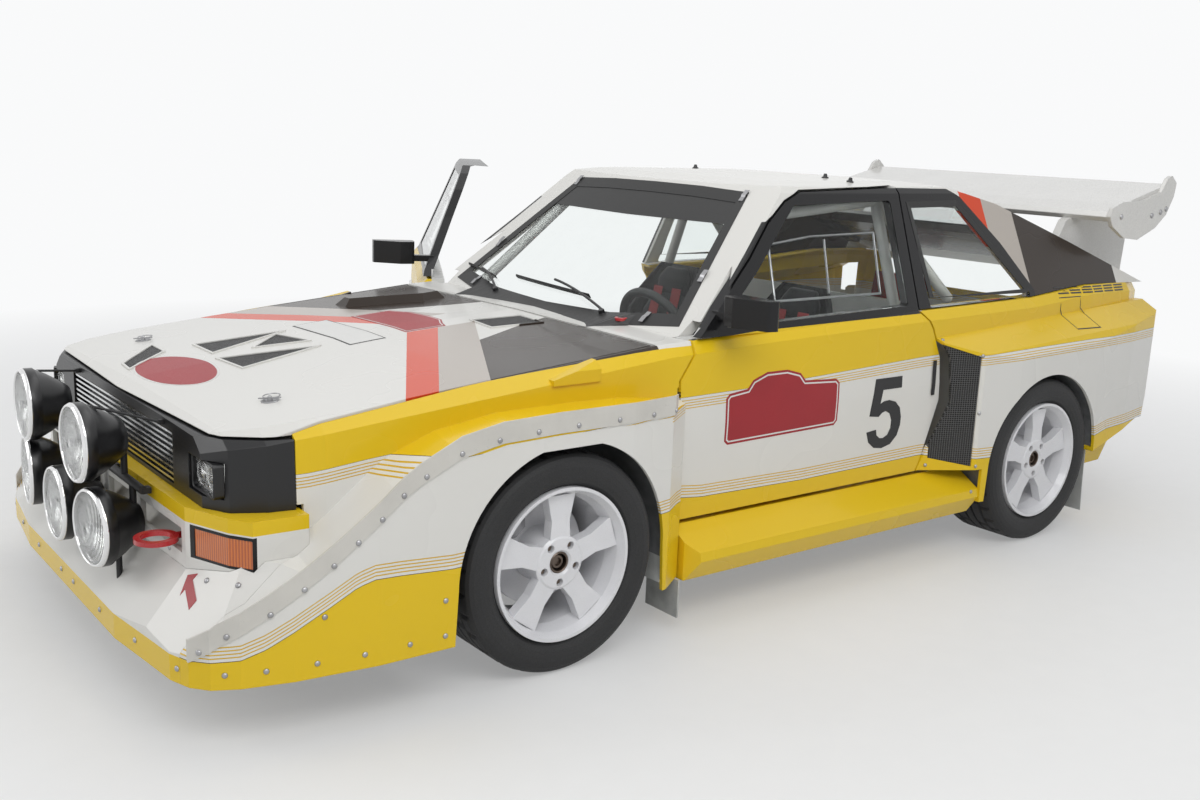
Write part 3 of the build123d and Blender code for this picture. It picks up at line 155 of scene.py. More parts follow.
def skinLoops(loops, closed=True):  # loops of points joined in turn; closed joins the last one to the first
    count = len(loops[0])
    vertices = [point for loop in loops for point in loop]
    faces = []
    for k in range(len(loops) if closed else len(loops) - 1):
        here, there = k * count, (k + 1) % len(loops) * count
        for i in range(count):
            j = (i + 1) % count
            faces.append((here + i, here + j, there + j, there + i))
    if not closed:
        faces.append(tuple(range(count))[::-1])
        faces.append(tuple((len(loops) - 1) * count + i for i in range(count)))
    return vertices, faces


def runTube(points, radius, around=10):  # a round rod along points, closed at its ends, in metres
    loops = []
    turn = (points[1] - points[0]).normalized().orthogonal().normalized()
    for i, point in enumerate(points):
        ahead = (points[min(i + 1, len(points) - 1)] - points[max(i - 1, 0)]).normalized()
        turn = (turn - ahead * turn.dot(ahead)).normalized()
        other = ahead.cross(turn)
        loops.append([point + (turn * cos(2 * pi * n / around) + other * sin(2 * pi * n / around)) * radius
                      for n in range(around)])
    return skinLoops(loops, closed=False)


def roundedLoop(centreY, centreZ, halfY, halfZ, radius, steps=5):
    loop = []
    for n, (sideY, sideZ) in enumerate(((1, 1), (-1, 1), (-1, -1), (1, -1))):
        for k in range(steps + 1):
            angle = pi / 2 * (n + k / steps)
            loop.append((centreY + sideY * (halfY - radius) + radius * cos(angle),
                         centreZ + sideZ * (halfZ - radius) + radius * sin(angle)))
    return loop


def divided(points, step):
    result = []
    for start, end in zip(points, points[1:] + points[:1]):
        a, b = Vector(start), Vector(end)
        count = max(1, int((b - a).length / step))
        result += [tuple(a.lerp(b, k / count)) for k in range(count)]
    return result


def widened(points, distance):  # an anticlockwise flat outline moved outwards
    result = []
    for before, here, after in zip(points[-1:] + points[:-1], points, points[1:] + points[:1]):
        into, out = (Vector(here) - Vector(before)).normalized(), (Vector(after) - Vector(here)).normalized()
        normal = Vector((into.y + out.y, -into.x - out.x)).normalized()
        stretch = max(0.4, normal.dot(Vector((into.y, -into.x))))
        result.append(tuple(Vector(here) + normal * distance / stretch))
    return result


def bandOn(outline, inner, outer, place, ground, direction, lift, wall):  # a band laid along a closed outline
    rings = [[landOn(ground, place(u, v), direction, rise)[0] for u, v in widened(outline, distance)]
             for distance, rise in ((inner, lift - wall), (inner, lift), (outer, lift), (outer, lift - wall))]
    kept = [i for i in range(len(outline)) if all(ring[i] is not None for ring in rings)]
    return skinLoops([[ring[i] for i in kept] for ring in rings])


plateGrain = {"longest": 30.0, "passes": 6}  # how finely a plate is cut before it follows its ground


def plate(outline, place, ground, direction, lift, wall):
    # place turns a point of the outline into a point in space; the plate then lands on the ground
    work = bmesh.new()
    work.faces.new([work.verts.new((u, v, 0)) for u, v in outline])
    work.normal_update()
    bmesh.ops.triangulate(work, faces=work.faces)
    for n in range(plateGrain["passes"]):
        longEdges = [e for e in work.edges if e.calc_length() > plateGrain["longest"]]
        if not longEdges:
            break
        bmesh.ops.subdivide_edges(work, edges=longEdges, cuts=1)
        bmesh.ops.triangulate(work, faces=[f for f in work.faces if len(f.verts) > 3])
    lost = []
    for vertex in work.verts:
        point, normal = landOn(ground, place(vertex.co.x, vertex.co.y), direction, lift)
        if point is None:
            lost.append(vertex)
        else:
            vertex.co = point
    bmesh.ops.delete(work, geom=lost, context="VERTS")
    bmesh.ops.recalc_face_normals(work, faces=work.faces)
    inward = Vector(direction).normalized()
    if sum((f.normal.dot(inward) * f.calc_area() for f in work.faces), 0.0) > 0:
        bmesh.ops.reverse_faces(work, faces=work.faces)
    work.verts.index_update()
    count = len(work.verts)
    vertices = [v.co.copy() for v in work.verts]
    vertices += [v + inward * wall for v in vertices]
    faces = [tuple(v.index for v in f.verts) for f in work.faces]
    faces += [tuple(count + i for i in reversed(face)) for face in faces]
    for edge in work.edges:
        if edge.is_boundary:
            a, b = edge.link_loops[0].vert.index, edge.link_loops[0].link_loop_next.vert.index
            faces.append((b, a, count + a, count + b))
    work.free()
    return vertices, faces


# Shader values that can be added, multiplied and compared; each sign makes one Math node
class Field:
    def __init__(self, socket):
        self.socket = socket

    def math(self, operation, *values):
        return addNode(self.socket.id_data, "Math", values, operation=operation)

    def __add__(self, other):
        return self.math("ADD", self, other)

    def __sub__(self, other):
        return self.math("SUBTRACT", self, other)

    def __rsub__(self, other):
        return self.math("SUBTRACT", other, self)

    def __mul__(self, other):
        return self.math("MULTIPLY", self, other)

    def __gt__(self, other):
        return self.math("GREATER_THAN", self, other)

    def __lt__(self, other):
        return self.math("LESS_THAN", self, other)

    def sine(self, pitch):
        return self.math("SINE", self * pitch)


def putInputs(node, values):  # values by the socket's name or number; colours have three parts
    for key, value in values.items():
        socket = node.inputs[key]
        if isinstance(value, Field):
            node.id_data.links.new(value.socket, socket)
        elif socket.type == "RGBA":
            socket.default_value = (*value, 1)
        else:
            socket.default_value = value


def addNode(tree, kind, values=(), output=0, **settings):
    node = tree.nodes.new("ShaderNode" + kind)
    for key, value in settings.items():
        setattr(node, key, value)
    putInputs(node, values if isinstance(values, dict) else dict(enumerate(values)))
    return Field(node.outputs[output])


def mixColour(share, low, high):
    return addNode(share.socket.id_data, "Mix", {0: share, 6: low, 7: high}, 2, data_type="RGBA")


def spread(value, low, high, newLow=0.0, newHigh=1.0):
    return addNode(value.socket.id_data, "MapRange", (value, low, high, newLow, newHigh))


def varied(noise, newLow=0.0, newHigh=1.0):  # a noise's usual span, from 0.3 to 0.7, set between two values
    return spread(noise, 0.3, 0.7, newLow, newHigh)


def within(value, low, high):
    return (value > low) * (value < high)


def lineOf(position, rows):  # the value of a drawn line at a position; rows: position, value
    tree, rows = position.socket.id_data, sorted(rows)
    first, span = rows[0][0], rows[-1][0] - rows[0][0]
    lowest, highest = min(v for p, v in rows), max(v for p, v in rows) + 0.01
    drawn = addNode(tree, "FloatCurve", {"Value": spread(position, first, first + span)})
    mapping = drawn.socket.node.mapping
    points = mapping.curves[0].points
    for n, (p, v) in enumerate(rows):
        place = ((p - first) / span, (v - lowest) / (highest - lowest))
        point = points[n] if n < 2 else points.new(*place)
        point.location = place
    for point in points:
        point.handle_type = "VECTOR"
    mapping.update()
    return spread(drawn, 0.0, 1.0, lowest, highest)


def bandsOf(distance, reach, bands):  # colours by distance in millimetres; bands: where each starts, its colour
    ramp = addNode(distance.socket.id_data, "ValToRGB", (spread(distance, -reach, reach),))
    colours = ramp.socket.node.color_ramp
    colours.interpolation = "CONSTANT"
    for n, (start, colour) in enumerate(bands):
        position = max(0.0, (start + reach) / (2 * reach))
        element = colours.elements[n] if n < 2 else colours.elements.new(position)
        element.position, element.color = position, (*colour, 1)
    return ramp


def objectPlace(tree):
    return addNode(tree, "TexCoord", (), "Object")


def carAxes(tree, opened=False):  # the car's own x, y, |y| and z in millimetres
    place = objectPlace(tree)
    if opened:
        place = addNode(tree, "VectorRotate", {"Vector": place, "Center": carPoint(*carPlace["doorHinge"], 0),
                                               "Angle": -radians(carPlace["doorOpen"])}, rotation_type="Z_AXIS")
    place = addNode(tree, "Mapping", {"Vector": place, "Scale": (1000, 1000, 1000), "Location": -carShift * 1000})
    x, y, z = (Field(s) for s in addNode(tree, "SeparateXYZ", (place,)).socket.node.outputs)
    return x, y, y.math("ABSOLUTE", y), z


def noiseOf(tree, scale, detail=4.0):
    return addNode(tree, "TexNoise", {"Vector": objectPlace(tree), "Scale": scale, "Detail": detail,
                                      "Roughness": 0.55})


def newFinish(name):
    material = bpy.data.materials.new(name)
    material.use_nodes = True
    return material.node_tree.nodes["Principled BSDF"], material.node_tree


def addBump(shader, height, strength, distance, rounded=0.0):
    values = {"Strength": strength, "Distance": distance, "Height": height}
    if rounded:
        values["Normal"] = addNode(shader.id_data, "Bevel", {"Radius": rounded}, samples=4)
    putInputs(shader, {"Normal": addNode(shader.id_data, "Bump", values)})


# A plain finish with its own grain: colour and gloss vary a little over the piece
def plainFinish(name, colour, roughness, metallic=0.0, grain=300.0, depth=0.02, mottle=0.12, coat=0.0, sheen=0.0,
                rounded=0.0):
    shader, tree = newFinish(name)
    broad, fine = noiseOf(tree, 9.0), noiseOf(tree, grain, 3.0)
    putInputs(shader, {
        "Base Color": mixColour(varied(broad), tuple(c * (1 - mottle) for c in colour), colour),
        "Roughness": varied(fine, roughness * 0.85, min(1.0, roughness * 1.15)), "Metallic": metallic,
        "Coat Weight": coat, "Coat Roughness": 0.04, "Sheen Weight": sheen})
    addBump(shader, fine, 0.3, depth / 1000, rounded)


# Colour, roughness and what differs from the usual; grain is the noise's scale, depth in millimetres
plainFinishes = {
    "satinBlack": dict(colour=(0.006, 0.006, 0.007), roughness=0.34, depth=0.03, rounded=0.002),
    "trimBlack": dict(colour=(0.008, 0.008, 0.009), roughness=0.55, grain=700.0, depth=0.05),
    "sealRubber": dict(colour=(0.010, 0.010, 0.010), roughness=0.5, grain=500.0),
    "chrome": dict(colour=(0.80, 0.80, 0.80), roughness=0.08, metallic=1.0, grain=150.0, depth=0.004, mottle=0.04),
    "reflectorSilver": dict(colour=(0.92, 0.92, 0.90), roughness=0.12, metallic=1.0, grain=90.0, depth=0.05,
                            mottle=0.03),
    "bareSteel": dict(colour=(0.42, 0.42, 0.43), roughness=0.38, metallic=1.0, grain=240.0, depth=0.05, mottle=0.25),
    "hubSteel": dict(colour=(0.15, 0.12, 0.10), roughness=0.35, metallic=1.0, grain=240.0),
    "castMetal": dict(colour=(0.22, 0.22, 0.22), roughness=0.55, metallic=0.8, grain=180.0, depth=0.25, mottle=0.3),
    "floorPaint": dict(colour=(0.045, 0.046, 0.048), roughness=0.6, grain=200.0, depth=0.2, mottle=0.35),
    "seatCloth": dict(colour=(0.010, 0.010, 0.012), roughness=0.9, grain=900.0, depth=0.35, mottle=0.25, sheen=0.25),
    "beltRed": dict(colour=(0.34, 0.010, 0.012), roughness=0.7, grain=1200.0, depth=0.3, mottle=0.15, sheen=0.3),
    "mirrorGlass": dict(colour=(0.75, 0.78, 0.80), roughness=0.04, metallic=1.0, grain=40.0, depth=0.001, mottle=0.02),
    "cabinPaint": dict(colour=(0.60, 0.60, 0.58), roughness=0.35, depth=0.05, rounded=0.002),
    "wheelPaint": dict(colour=(0.78, 0.78, 0.80), roughness=0.3, grain=350.0, depth=0.03, mottle=0.06, coat=0.5,
                       rounded=0.003),
    "wingPaint": dict(colour=(0.72, 0.71, 0.68), roughness=0.28, grain=350.0, mottle=0.06, coat=0.7, rounded=0.004),
    "redPaint": dict(colour=(0.48, 0.014, 0.018), roughness=0.3, mottle=0.1, coat=0.5),
    "plateRed": dict(colour=(0.34, 0.007, 0.014), roughness=0.4, mottle=0.08),
    "plateWhite": dict(colour=(0.76, 0.755, 0.73), roughness=0.35, mottle=0.04),
    "numberBlack": dict(colour=(0.006, 0.006, 0.007), roughness=0.45, mottle=0.1),
    "stripPlastic": dict(colour=(0.66, 0.64, 0.59), roughness=0.32, grain=120.0, depth=0.1, mottle=0.10, coat=0.2),
    "flapPlastic": dict(colour=(0.56, 0.57, 0.55), roughness=0.55, grain=60.0, depth=0.4, mottle=0.25),
    "redLens": dict(colour=(0.36, 0.005, 0.004), roughness=0.2, grain=80.0, depth=0.4, mottle=0.35, coat=0.2),
}
for name, values in plainFinishes.items():
    plainFinish(name, **values)

# Paint colours and where the bands run; rows of lines are millimetres: along the car, value
livery = {
    "white": (0.77, 0.76, 0.725), "yellow": (0.81, 0.55, 0.014), "line": (0.66, 0.42, 0.03),
    "edge": (0.10, 0.075, 0.03), "orange": (0.70, 0.062, 0.014), "grey": (0.50, 0.455, 0.41),
    "brown": (0.034, 0.024, 0.018), "black": (0.010, 0.010, 0.011), "inside": (0.62, 0.62, 0.60),
    "upperLine": [(-2000, 771), (-1730, 770), (-1329, 765), (-1008, 758), (-715, 750), (-474, 745), (300, 715),
                  (612, 711), (660, 712), (800, 706), (1500, 666), (1640, 654), (1800, 636), (1880, 634),
                  (2300, 634)],
    "lowerLine": [(-2000, 402), (-1849, 400), (-1532, 391), (-1441, 375), (-812, 369), (-710, 371), (-516, 387),
                  (85, 381), (525, 390), (682, 408), (1482, 380), (1623, 390), (1694, 393), (1739, 380),
                  (1811, 339), (1883, 300), (1959, 258), (2017, 238), (2096, 235), (2300, 235)],
    "lineReach": 60.0, "lowerLines": (3.2, (9, 18, 27, 36)), "upperLines": (3.0, (-36, -28, -20, -12)),
    "lowerEdge": 1.6, "upperEdge": -1.4,  # the dark hairline along each yellow field
    "topEdge": [(500, 770), (575, 768), (781, 758), (1512, 734), (1874, 727), (2000, 725)],
    "stripEdge": [(690, 694), (1147, 696), (1324, 691), (1447, 668), (1565, 613), (1614, 582), (1671, 535),
                  (1719, 496)],
    "underStrip": {"outside": 862.0, "along": (745.0, 1700.0), "below": (-100.0, -6.0), "dropFrom": 1440.0,
                   "drop": 30.0},
    "orangeFront": (1510.0, 0.555, 734.0), "orangeRear": (1412.0, 0.575, 734.0), "brownFront": (1258.0, 0.54, 742.0),
    "bandsFrom": 90.0, "brownRear": 690.0,
    "bandInner": [(690, 190), (810, 229), (1000, 313), (1180, 380), (1260, 385)],
    "sideWindow": [(-1196, 0), (-1192, 941), (-1053, 1116), (-880, 1283), (-820, 1312), (-528, 1315), (-34, 1298),
                   (58, 1261), (174, 1200), (307, 1091), (466, 963), (585, 865), (650, 840)],
    "glassSide": (0.434, 1141.0), "deckEdge": [(-2000, 955), (-1126, 953), (-495, 902)],
    "roofBands": (-877.0, -1000.0, -1173.0, -1765.0), "lipTop": 235.0, "bumperBand": 512.0,
    "markerRim": ((626.0, 812.0), (424.0, 508.0), 1944.0),
    "doorFrame": [(-700, 897), (300, 886), (620, 868)], "doorInside": (740.0, 905.0),
}


def stripeColours(x, z):  # white, yellow and the fine lines between them, and the height over the upper line
    white, yellow, line, edge = (livery[key] for key in ("white", "yellow", "line", "edge"))
    reach = livery["lineReach"]
    lowBands, highBands = [(-reach, yellow), (0, edge), (livery["lowerEdge"], white)], [(-reach, white)]
    for bands, key in ((lowBands, "lowerLines"), (highBands, "upperLines")):
        width, starts = livery[key]
        for start in starts:
            bands += [(start, line), (start + width, white)]
    highBands += [(livery["upperEdge"], edge), (0, yellow)]
    upper, lower = lineOf(x, livery["upperLine"]), lineOf(x, livery["lowerLine"])
    above = z - upper
    low, high = bandsOf(z - lower, reach, lowBands), bandsOf(above, reach, highBands)
    return mixColour(z > (upper + lower) * 0.5, low, high), above


def hoodColours(x, absY):  # white with the orange, grey and brown bands that slant across each side
    orangeFront, orangeRear, brownFront = (
        start - (base - absY) * slope
        for start, slope, base in (livery[key] for key in ("orangeFront", "orangeRear", "brownFront")))
    outside = absY > livery["bandsFrom"]
    brown = within(x, livery["brownRear"], brownFront) * (absY > lineOf(x, livery["bandInner"]))
    colour = mixColour(outside * within(x, orangeRear, orangeFront), livery["white"], livery["orange"])
    colour = mixColour(within(x, brownFront, orangeRear) * outside, colour, livery["grey"])
    return mixColour(brown, colour, livery["brown"])


def roofColours(x):
    first, second, third, last = livery["roofBands"]
    colour = livery["white"]
    for low, high, name in ((second, first, "orange"), (third, second, "grey"), (last, third, "brown")):
        colour = mixColour(within(x, low, high), colour, livery[name])
    return colour


def fenderColours(colour, above, x, absY, z):  # the hood's bands run on over its top, and the strip covers lines
    strip = livery["underStrip"]
    top = (absY < lineOf(x, livery["topEdge"])) * (above > 20.0)
    colour = mixColour(top, colour, hoodColours(x, absY))
    below = z - lineOf(x, livery["stripEdge"]) - (x > strip["dropFrom"]) * strip["drop"]
    covered = (absY > strip["outside"]) * within(x, *strip["along"]) * within(below, *strip["below"])
    return mixColour(covered, colour, livery["white"])


def panelColours(scheme, x, absY, z):
    white, yellow, black = (livery[key] for key in ("white", "yellow", "black"))
    if scheme in ("white", "yellow"):
        return livery[scheme]
    if scheme == "hood":
        return hoodColours(x, absY)
    if scheme == "roof":
        lean, reach = livery["glassSide"]
        return mixColour((absY + z * lean > reach) * (z < lineOf(x, livery["sideWindow"])), roofColours(x), black)
    if scheme == "dam":
        return mixColour(z < livery["lipTop"], white, yellow)
    if scheme == "bumper":
        across, up, ahead = livery["markerRim"]
        rim = within(absY, *across) * within(z, *up) * (x > ahead)
        return mixColour(rim, mixColour(z > livery["bumperBand"], white, yellow), black)
    colour, above = stripeColours(x, z)
    if scheme == "fender":
        return fenderColours(colour, above, x, absY, z)
    if scheme == "quarter":
        return mixColour(z > lineOf(x, livery["deckEdge"]), colour, roofColours(x))
    if scheme == "door":
        inner, top = livery["doorInside"]
        colour = mixColour(z > lineOf(x, livery["doorFrame"]), colour, black)
        return mixColour((absY < inner) * (z < top), colour, livery["inside"])
    return colour


bodyPaintValues = {"coat": 0.14, "coatRoughness": 0.03, "specular": 0.22, "roughness": (0.24, 0.29),
                   "dust": (0.985, 0.982, 0.975), "bump": (0.25, 0.0005, 0.0025)}


def bodyPaint(name, scheme, opened=False):  # clear-coated paint; the scheme says which bands a panel carries
    values = bodyPaintValues
    shader, tree = newFinish(name)
    x, y, absY, z = carAxes(tree, opened)
    dust = mixColour(spread(noiseOf(tree, 1.6, 2.0), 0.35, 0.75), (1.0, 1.0, 1.0), values["dust"])
    colour = addNode(tree, "Mix", {0: 1.0, 6: panelColours(scheme, x, absY, z), 7: dust}, 2, data_type="RGBA",
                     blend_type="MULTIPLY")
    putInputs(shader, {
        "Base Color": colour, "Roughness": varied(noiseOf(tree, 2.5, 2.0), *values["roughness"]),
        "Coat Weight": values["coat"], "Coat Roughness": values["coatRoughness"],
        "Specular IOR Level": values["specular"]})
    addBump(shader, noiseOf(tree, 5.0, 1.0), *values["bump"])


for scheme in ("hood", "roof", "dam", "bumper", "white", "yellow", "fender", "quarter", "side", "door"):
    bodyPaint("paint" + scheme.capitalize(), scheme)
bodyPaint("paintOpenDoor", "door", opened=True)

glasses = {"windowGlass": {"tint": (0.90, 0.93, 0.92), "ior": 1.2, "ripple": 0.0},
           "lampGlass": {"tint": (0.97, 0.99, 1.0), "ior": 1.4, "ripple": 0.9}}
for name, values in glasses.items():
    shader, tree = newFinish(name)
    smear = noiseOf(tree, 14.0)
    putInputs(shader, {
        "Base Color": mixColour(smear, values["tint"], tuple(min(1.0, c * 1.04) for c in values["tint"])),
        "Roughness": spread(smear, 0.3, 0.8, 0.0, 0.03), "Transmission Weight": 1.0, "IOR": values["ior"]})
    if values["ripple"]:
        x, y, absY, z = carAxes(tree)
        addBump(shader, y.sine(values["ripple"]) + z.sine(values["ripple"] * 0.35), 0.5, 0.0012)

# Finishes that change with the place on the car, in its millimetres
placedFinishes = {
    "liner": {"grey": ((0.13, 0.135, 0.14), (0.21, 0.215, 0.22)), "pale": ((0.40, 0.41, 0.40), (0.56, 0.57, 0.55)),
              "flap": (560.0, 760.0), "flapTop": 262.0},
    # mesh: the hole colour is painted shade, the dark of the openings behind the wires
    "mesh": {"wire": (0.10, 0.10, 0.10), "hole": (0.003, 0.003, 0.003), "hood": 0.55, "side": 0.42},
    "lampBlocks": {"amber": ((0.42, 0.07, 0.002), (0.70, 0.17, 0.006)), "silver": (0.85, 0.85, 0.83),
                   "silverFrom": 545.0, "ribs": 0.9},
    "grille": {"backing": (0.006, 0.006, 0.006), "slats": (0.72, 0.73, 0.74), "slatsFrom": 1988.2},
    "tyre": {"fresh": (0.010, 0.010, 0.0105), "worn": (0.021, 0.021, 0.022)},
}


def addLinerFinish():  # grey liners that turn to pale plastic at the mud flaps behind the front wheels
    shader, tree = newFinish("linerGrey")
    x, y, absY, z = carAxes(tree)
    spray = noiseOf(tree, 22.0)
    values = placedFinishes["liner"]
    grey, pale = mixColour(varied(spray), *values["grey"]), mixColour(varied(spray), *values["pale"])
    flap = within(x, *values["flap"]) * (z < values["flapTop"])
    putInputs(shader, {"Base Color": mixColour(flap, grey, pale), "Roughness": varied(spray, 0.5, 0.66)})
    addBump(shader, noiseOf(tree, 160.0, 3.0), 0.3, 0.0003)


def addMeshFinish(name, key):  # dark woven mesh: thin wires over near-black painted shade in the holes
    values = placedFinishes["mesh"]
    shader, tree = newFinish(name)
    x, y, absY, z = carAxes(tree)
    first, second = (line.sine(values[key]) for line in ((x, z) if key == "side" else (x + y, x - y)))
    nearest = x.math("MINIMUM", first.math("ABSOLUTE", first), second.math("ABSOLUTE", second))
    hole = spread(nearest, 0.25, 0.5)
    # the holes between the wires take the near-black painted shade
    putInputs(shader, {"Base Color": mixColour(hole, values["wire"], values["hole"]),
                       "Roughness": spread(hole, 0.0, 1.0, 0.35, 0.8), "Metallic": 0.3})
    addBump(shader, 1.0 - hole, 0.8, 0.0012)


def addLampBlockFinish():  # silver behind the head lamps, amber for the markers below them
    shader, tree = newFinish("lampBlocks")
    x, y, absY, z = carAxes(tree)
    values = placedFinishes["lampBlocks"]
    upper, ribs = z > values["silverFrom"], y.sine(values["ribs"])
    amber = mixColour(spread(ribs, -1.0, 1.0), *values["amber"])
    putInputs(shader, {"Base Color": mixColour(upper, amber, values["silver"]), "Metallic": upper,
                       "Roughness": 0.16, "Coat Weight": 0.8})
    addBump(shader, ribs, 0.4, 0.0008)


def addGrilleFinish():  # bright slats before a black backing
    shader, tree = newFinish("grilleSlats")
    values = placedFinishes["grille"]
    front = carAxes(tree)[0] > values["slatsFrom"]
    putInputs(shader, {"Base Color": mixColour(front, values["backing"], values["slats"]), "Metallic": front,
                       "Roughness": varied(noiseOf(tree, 60.0), 0.14, 0.26)})


def addTyreFinish():
    shader, tree = newFinish("tyreRubberWorn")
    fine, broad = noiseOf(tree, 350.0, 3.0), noiseOf(tree, 7.0)
    values = placedFinishes["tyre"]
    putInputs(shader, {"Base Color": mixColour(broad, values["fresh"], values["worn"]),
                       "Roughness": varied(fine, 0.55, 0.78)})
    addBump(shader, fine, 0.35, 0.0003)


addLinerFinish()
addMeshFinish("blackMesh", "hood")
addMeshFinish("sideMesh", "side")
addLampBlockFinish()
addGrilleFinish()
addTyreFinish()
print("stage: finishes")

# The finish of each of the car's nodes that shows, listed by finish
panelFinishes = {
    "paintHood": ("hood", "cowl"), "paintRoof": ("roof_frame", "tail_lid"), "paintDam": ("air_dam",),
    "paintBumper": ("front_bumper",), "paintWhite": ("rear_bumper",), "paintYellow": ("running_boards",),
    "paintFender": ("front_fenders",), "paintQuarter": ("rear_quarters",), "paintSide": ("rear_panel",),
    "paintDoor": ("door_left",), "paintOpenDoor": ("door_right",), "satinBlack": ("nose_panel", "driving_lamps"),
    "trimBlack": ("dashboard", "steering_wheel", "lamp_bar"), "seatCloth": ("seats",),
    "sideMesh": ("side_grilles",), "floorPaint": ("floor_pan",), "cabinPaint": ("bulkheads", "roll_cage"),
    "castMetal": ("engine_block",), "bareSteel": ("suspension", "exhaust", "knuckle_left", "knuckle_right"),
    "linerGrey": ("wheel_housings",), "redPaint": ("tow_eyes",), "stripPlastic": ("deflector_strips",),
    "redLens": ("tail_lamps",), "lampBlocks": ("head_lamps",), "grilleSlats": ("grille",), "wingPaint": ("wing",),
    "windowGlass": ("windscreen", "rear_windows", "door_glass_left", "door_glass_right"),
    "wheelPaint": tuple(name for name in nodes if name.startswith("rim_")),
    "tyreRubberWorn": tuple(name for name in nodes if name.startswith("tyre_")),
}
for finish, names in panelFinishes.items():
    for name in names:
        nodes[name].data.materials.clear()
        nodes[name].data.materials.append(bpy.data.materials[finish])
print("stage: panels dressed")

# Round driving lamps: (x, y, z, turn outwards), and profiles as (along the axis, radius)
drivingLamps = {
    "places": [(2197, 0, 418, 0), (2191, 317, 435, 7), (2191, -317, 435, -7), (2206, 253, 646, 2),
               (2206, -253, 646, -2)],
    "Housings": [(0, 97), (-3, 103), (-10, 104), (-34, 104), (-38, 100), (-70, 84), (-102, 64), (-128, 45), (-128, 1),
                 (-122, 1), (-122, 41), (-66, 78), (-34, 97), (-7, 95.5)],
    "Rings": [(-6, 94.5), (1, 94), (3, 96.5), (1.5, 100), (-4, 103.6), (-7, 104.6), (-9, 104.2)],
    "Bulbs": [(-75, 0.5), (-75, 9), (-52, 9), (-50, 6), (-30, 6), (-26, 4.5), (-24, 0.5)],
    "BulbCaps": [(-22, 0.5), (-22, 13), (-28, 15), (-30, 15), (-30, 13), (-24, 11), (-24, 0.5)],
    "lensRadius": 94.0, "crown": 9.0, "lensWall": 3.0, "focus": 74.0, "bowlDepth": 66.0, "bowlWall": 1.5,
    "lensSteps": (0.5, 20, 38, 54, 68, 80, 88, 94), "bowlSteps": (9, 20, 34, 48, 60, 70, 80, 88, 93),
}


def addDrivingLamps():
    values = drivingLamps
    lens = [(values["crown"] * (1 - (r / values["lensRadius"]) ** 2), r) for r in values["lensSteps"]]
    bowl = [(values["bowlDepth"] * (r / values["lensRadius"]) ** 2 - values["focus"], r) for r in values["bowlSteps"]]
    profiles = {**values, "Lenses": lens + [(a - values["lensWall"], r) for a, r in reversed(lens)],
                "Reflectors": bowl + [(a - values["bowlWall"], r) for a, r in reversed(bowl)]}
    for name, finish in (("Housings", "satinBlack"), ("Rings", "chrome"), ("Reflectors", "reflectorSilver"),
                         ("Bulbs", "plateWhite"), ("BulbCaps", "chrome"), ("Lenses", "lampGlass")):
        lamps = [lathe(profiles[name], carPoint(x, y, z), (cos(radians(turn)), sin(radians(turn)), 0), 56)
                 for x, y, z, turn in values["places"]]
        piece = addPiece("drivingLamp" + name, gather(lamps), finish, smooth=True)
        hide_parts("driving_lamps")


# Rectangular head lamps in the black nose; rows are (x, growth of the outline, corner radius)
headLamp = {
    "y": 626.0, "z": 623.0, "halfY": 72.0, "halfZ": 43.0, "bowlX": 1978.4, "bowlOffset": 34.0,
    "lens": [(1986, -1, 11.6), (1994, -1, 11.6), (1997, -6, 9.6), (1999, -24, 4)],
    "rim": [(1978.5, 0.8, 10), (2004, 0.8, 10), (2006, -2, 10), (2004, -5, 10), (1978.5, -5, 10)],
    "bowl": [(1, 30), (3, 31), (8, 31), (6, 28), (2, 12), (9, 8), (12, 0.5), (1, 0.5)],
}


def headLampLoops(side, rows):
    values = headLamp
    return [[carPoint(x, a, b) for a, b in roundedLoop(side * values["y"], values["z"], values["halfY"] + grow,
                                                       values["halfZ"] + grow, radius)] for x, grow, radius in rows]


def addHeadLamps():
    values = headLamp
    lenses = [skinLoops(headLampLoops(side, values["lens"]), closed=False) for side in (1, -1)]
    rims = [skinLoops(headLampLoops(side, values["rim"])) for side in (1, -1)]
    bowls = [lathe(values["bowl"], carPoint(values["bowlX"], side * values["y"] + offset, values["z"]), (1, 0, 0), 40)
             for side in (1, -1) for offset in (-values["bowlOffset"], values["bowlOffset"])]
    addPiece("headLampLenses", gather(lenses), "lampGlass")
    addPiece("headLampRims", gather(rims), "satinBlack")
    addPiece("headLampBowls", gather(bowls), "reflectorSilver", smooth=True)


addDrivingLamps()
addHeadLamps()
print("stage: lamps")

# Tyres: carcass with ribs, cross grooves and rounded sidewalls
tyre = {
    "segments": 180, "pitch": 6, "grooveRadius": 307.0, "tread": 314.0, "crossDepth": 6.0, "grooveSlope": (2, 8),
    "side": [(100, 220), (114, 232), (119, 246), (121.5, 262), (122, 276), (119, 292), (113, 303), (104, 310)],
    "ribs": [(90, 66), (54, 24), (14, -14), (-24, -54), (-66, -90)], "shoulder": 3,
}


def tyreRows():  # rows across the tyre: place, radius and the number of the rib, nought off the ribs
    rows = [(y, r, 0) for y, r in tyre["side"]]
    for n, (left, right) in enumerate(tyre["ribs"]):
        rows += [(y, tyre["tread"], n + 1)
                 for y in (left, left - tyre["shoulder"], right + tyre["shoulder"], right)]
        if n < len(tyre["ribs"]) - 1:
            rows += [(right - step, tyre["grooveRadius"], 0) for step in tyre["grooveSlope"]]
    return rows + [(-y, r, 0) for y, r in reversed(tyre["side"])]


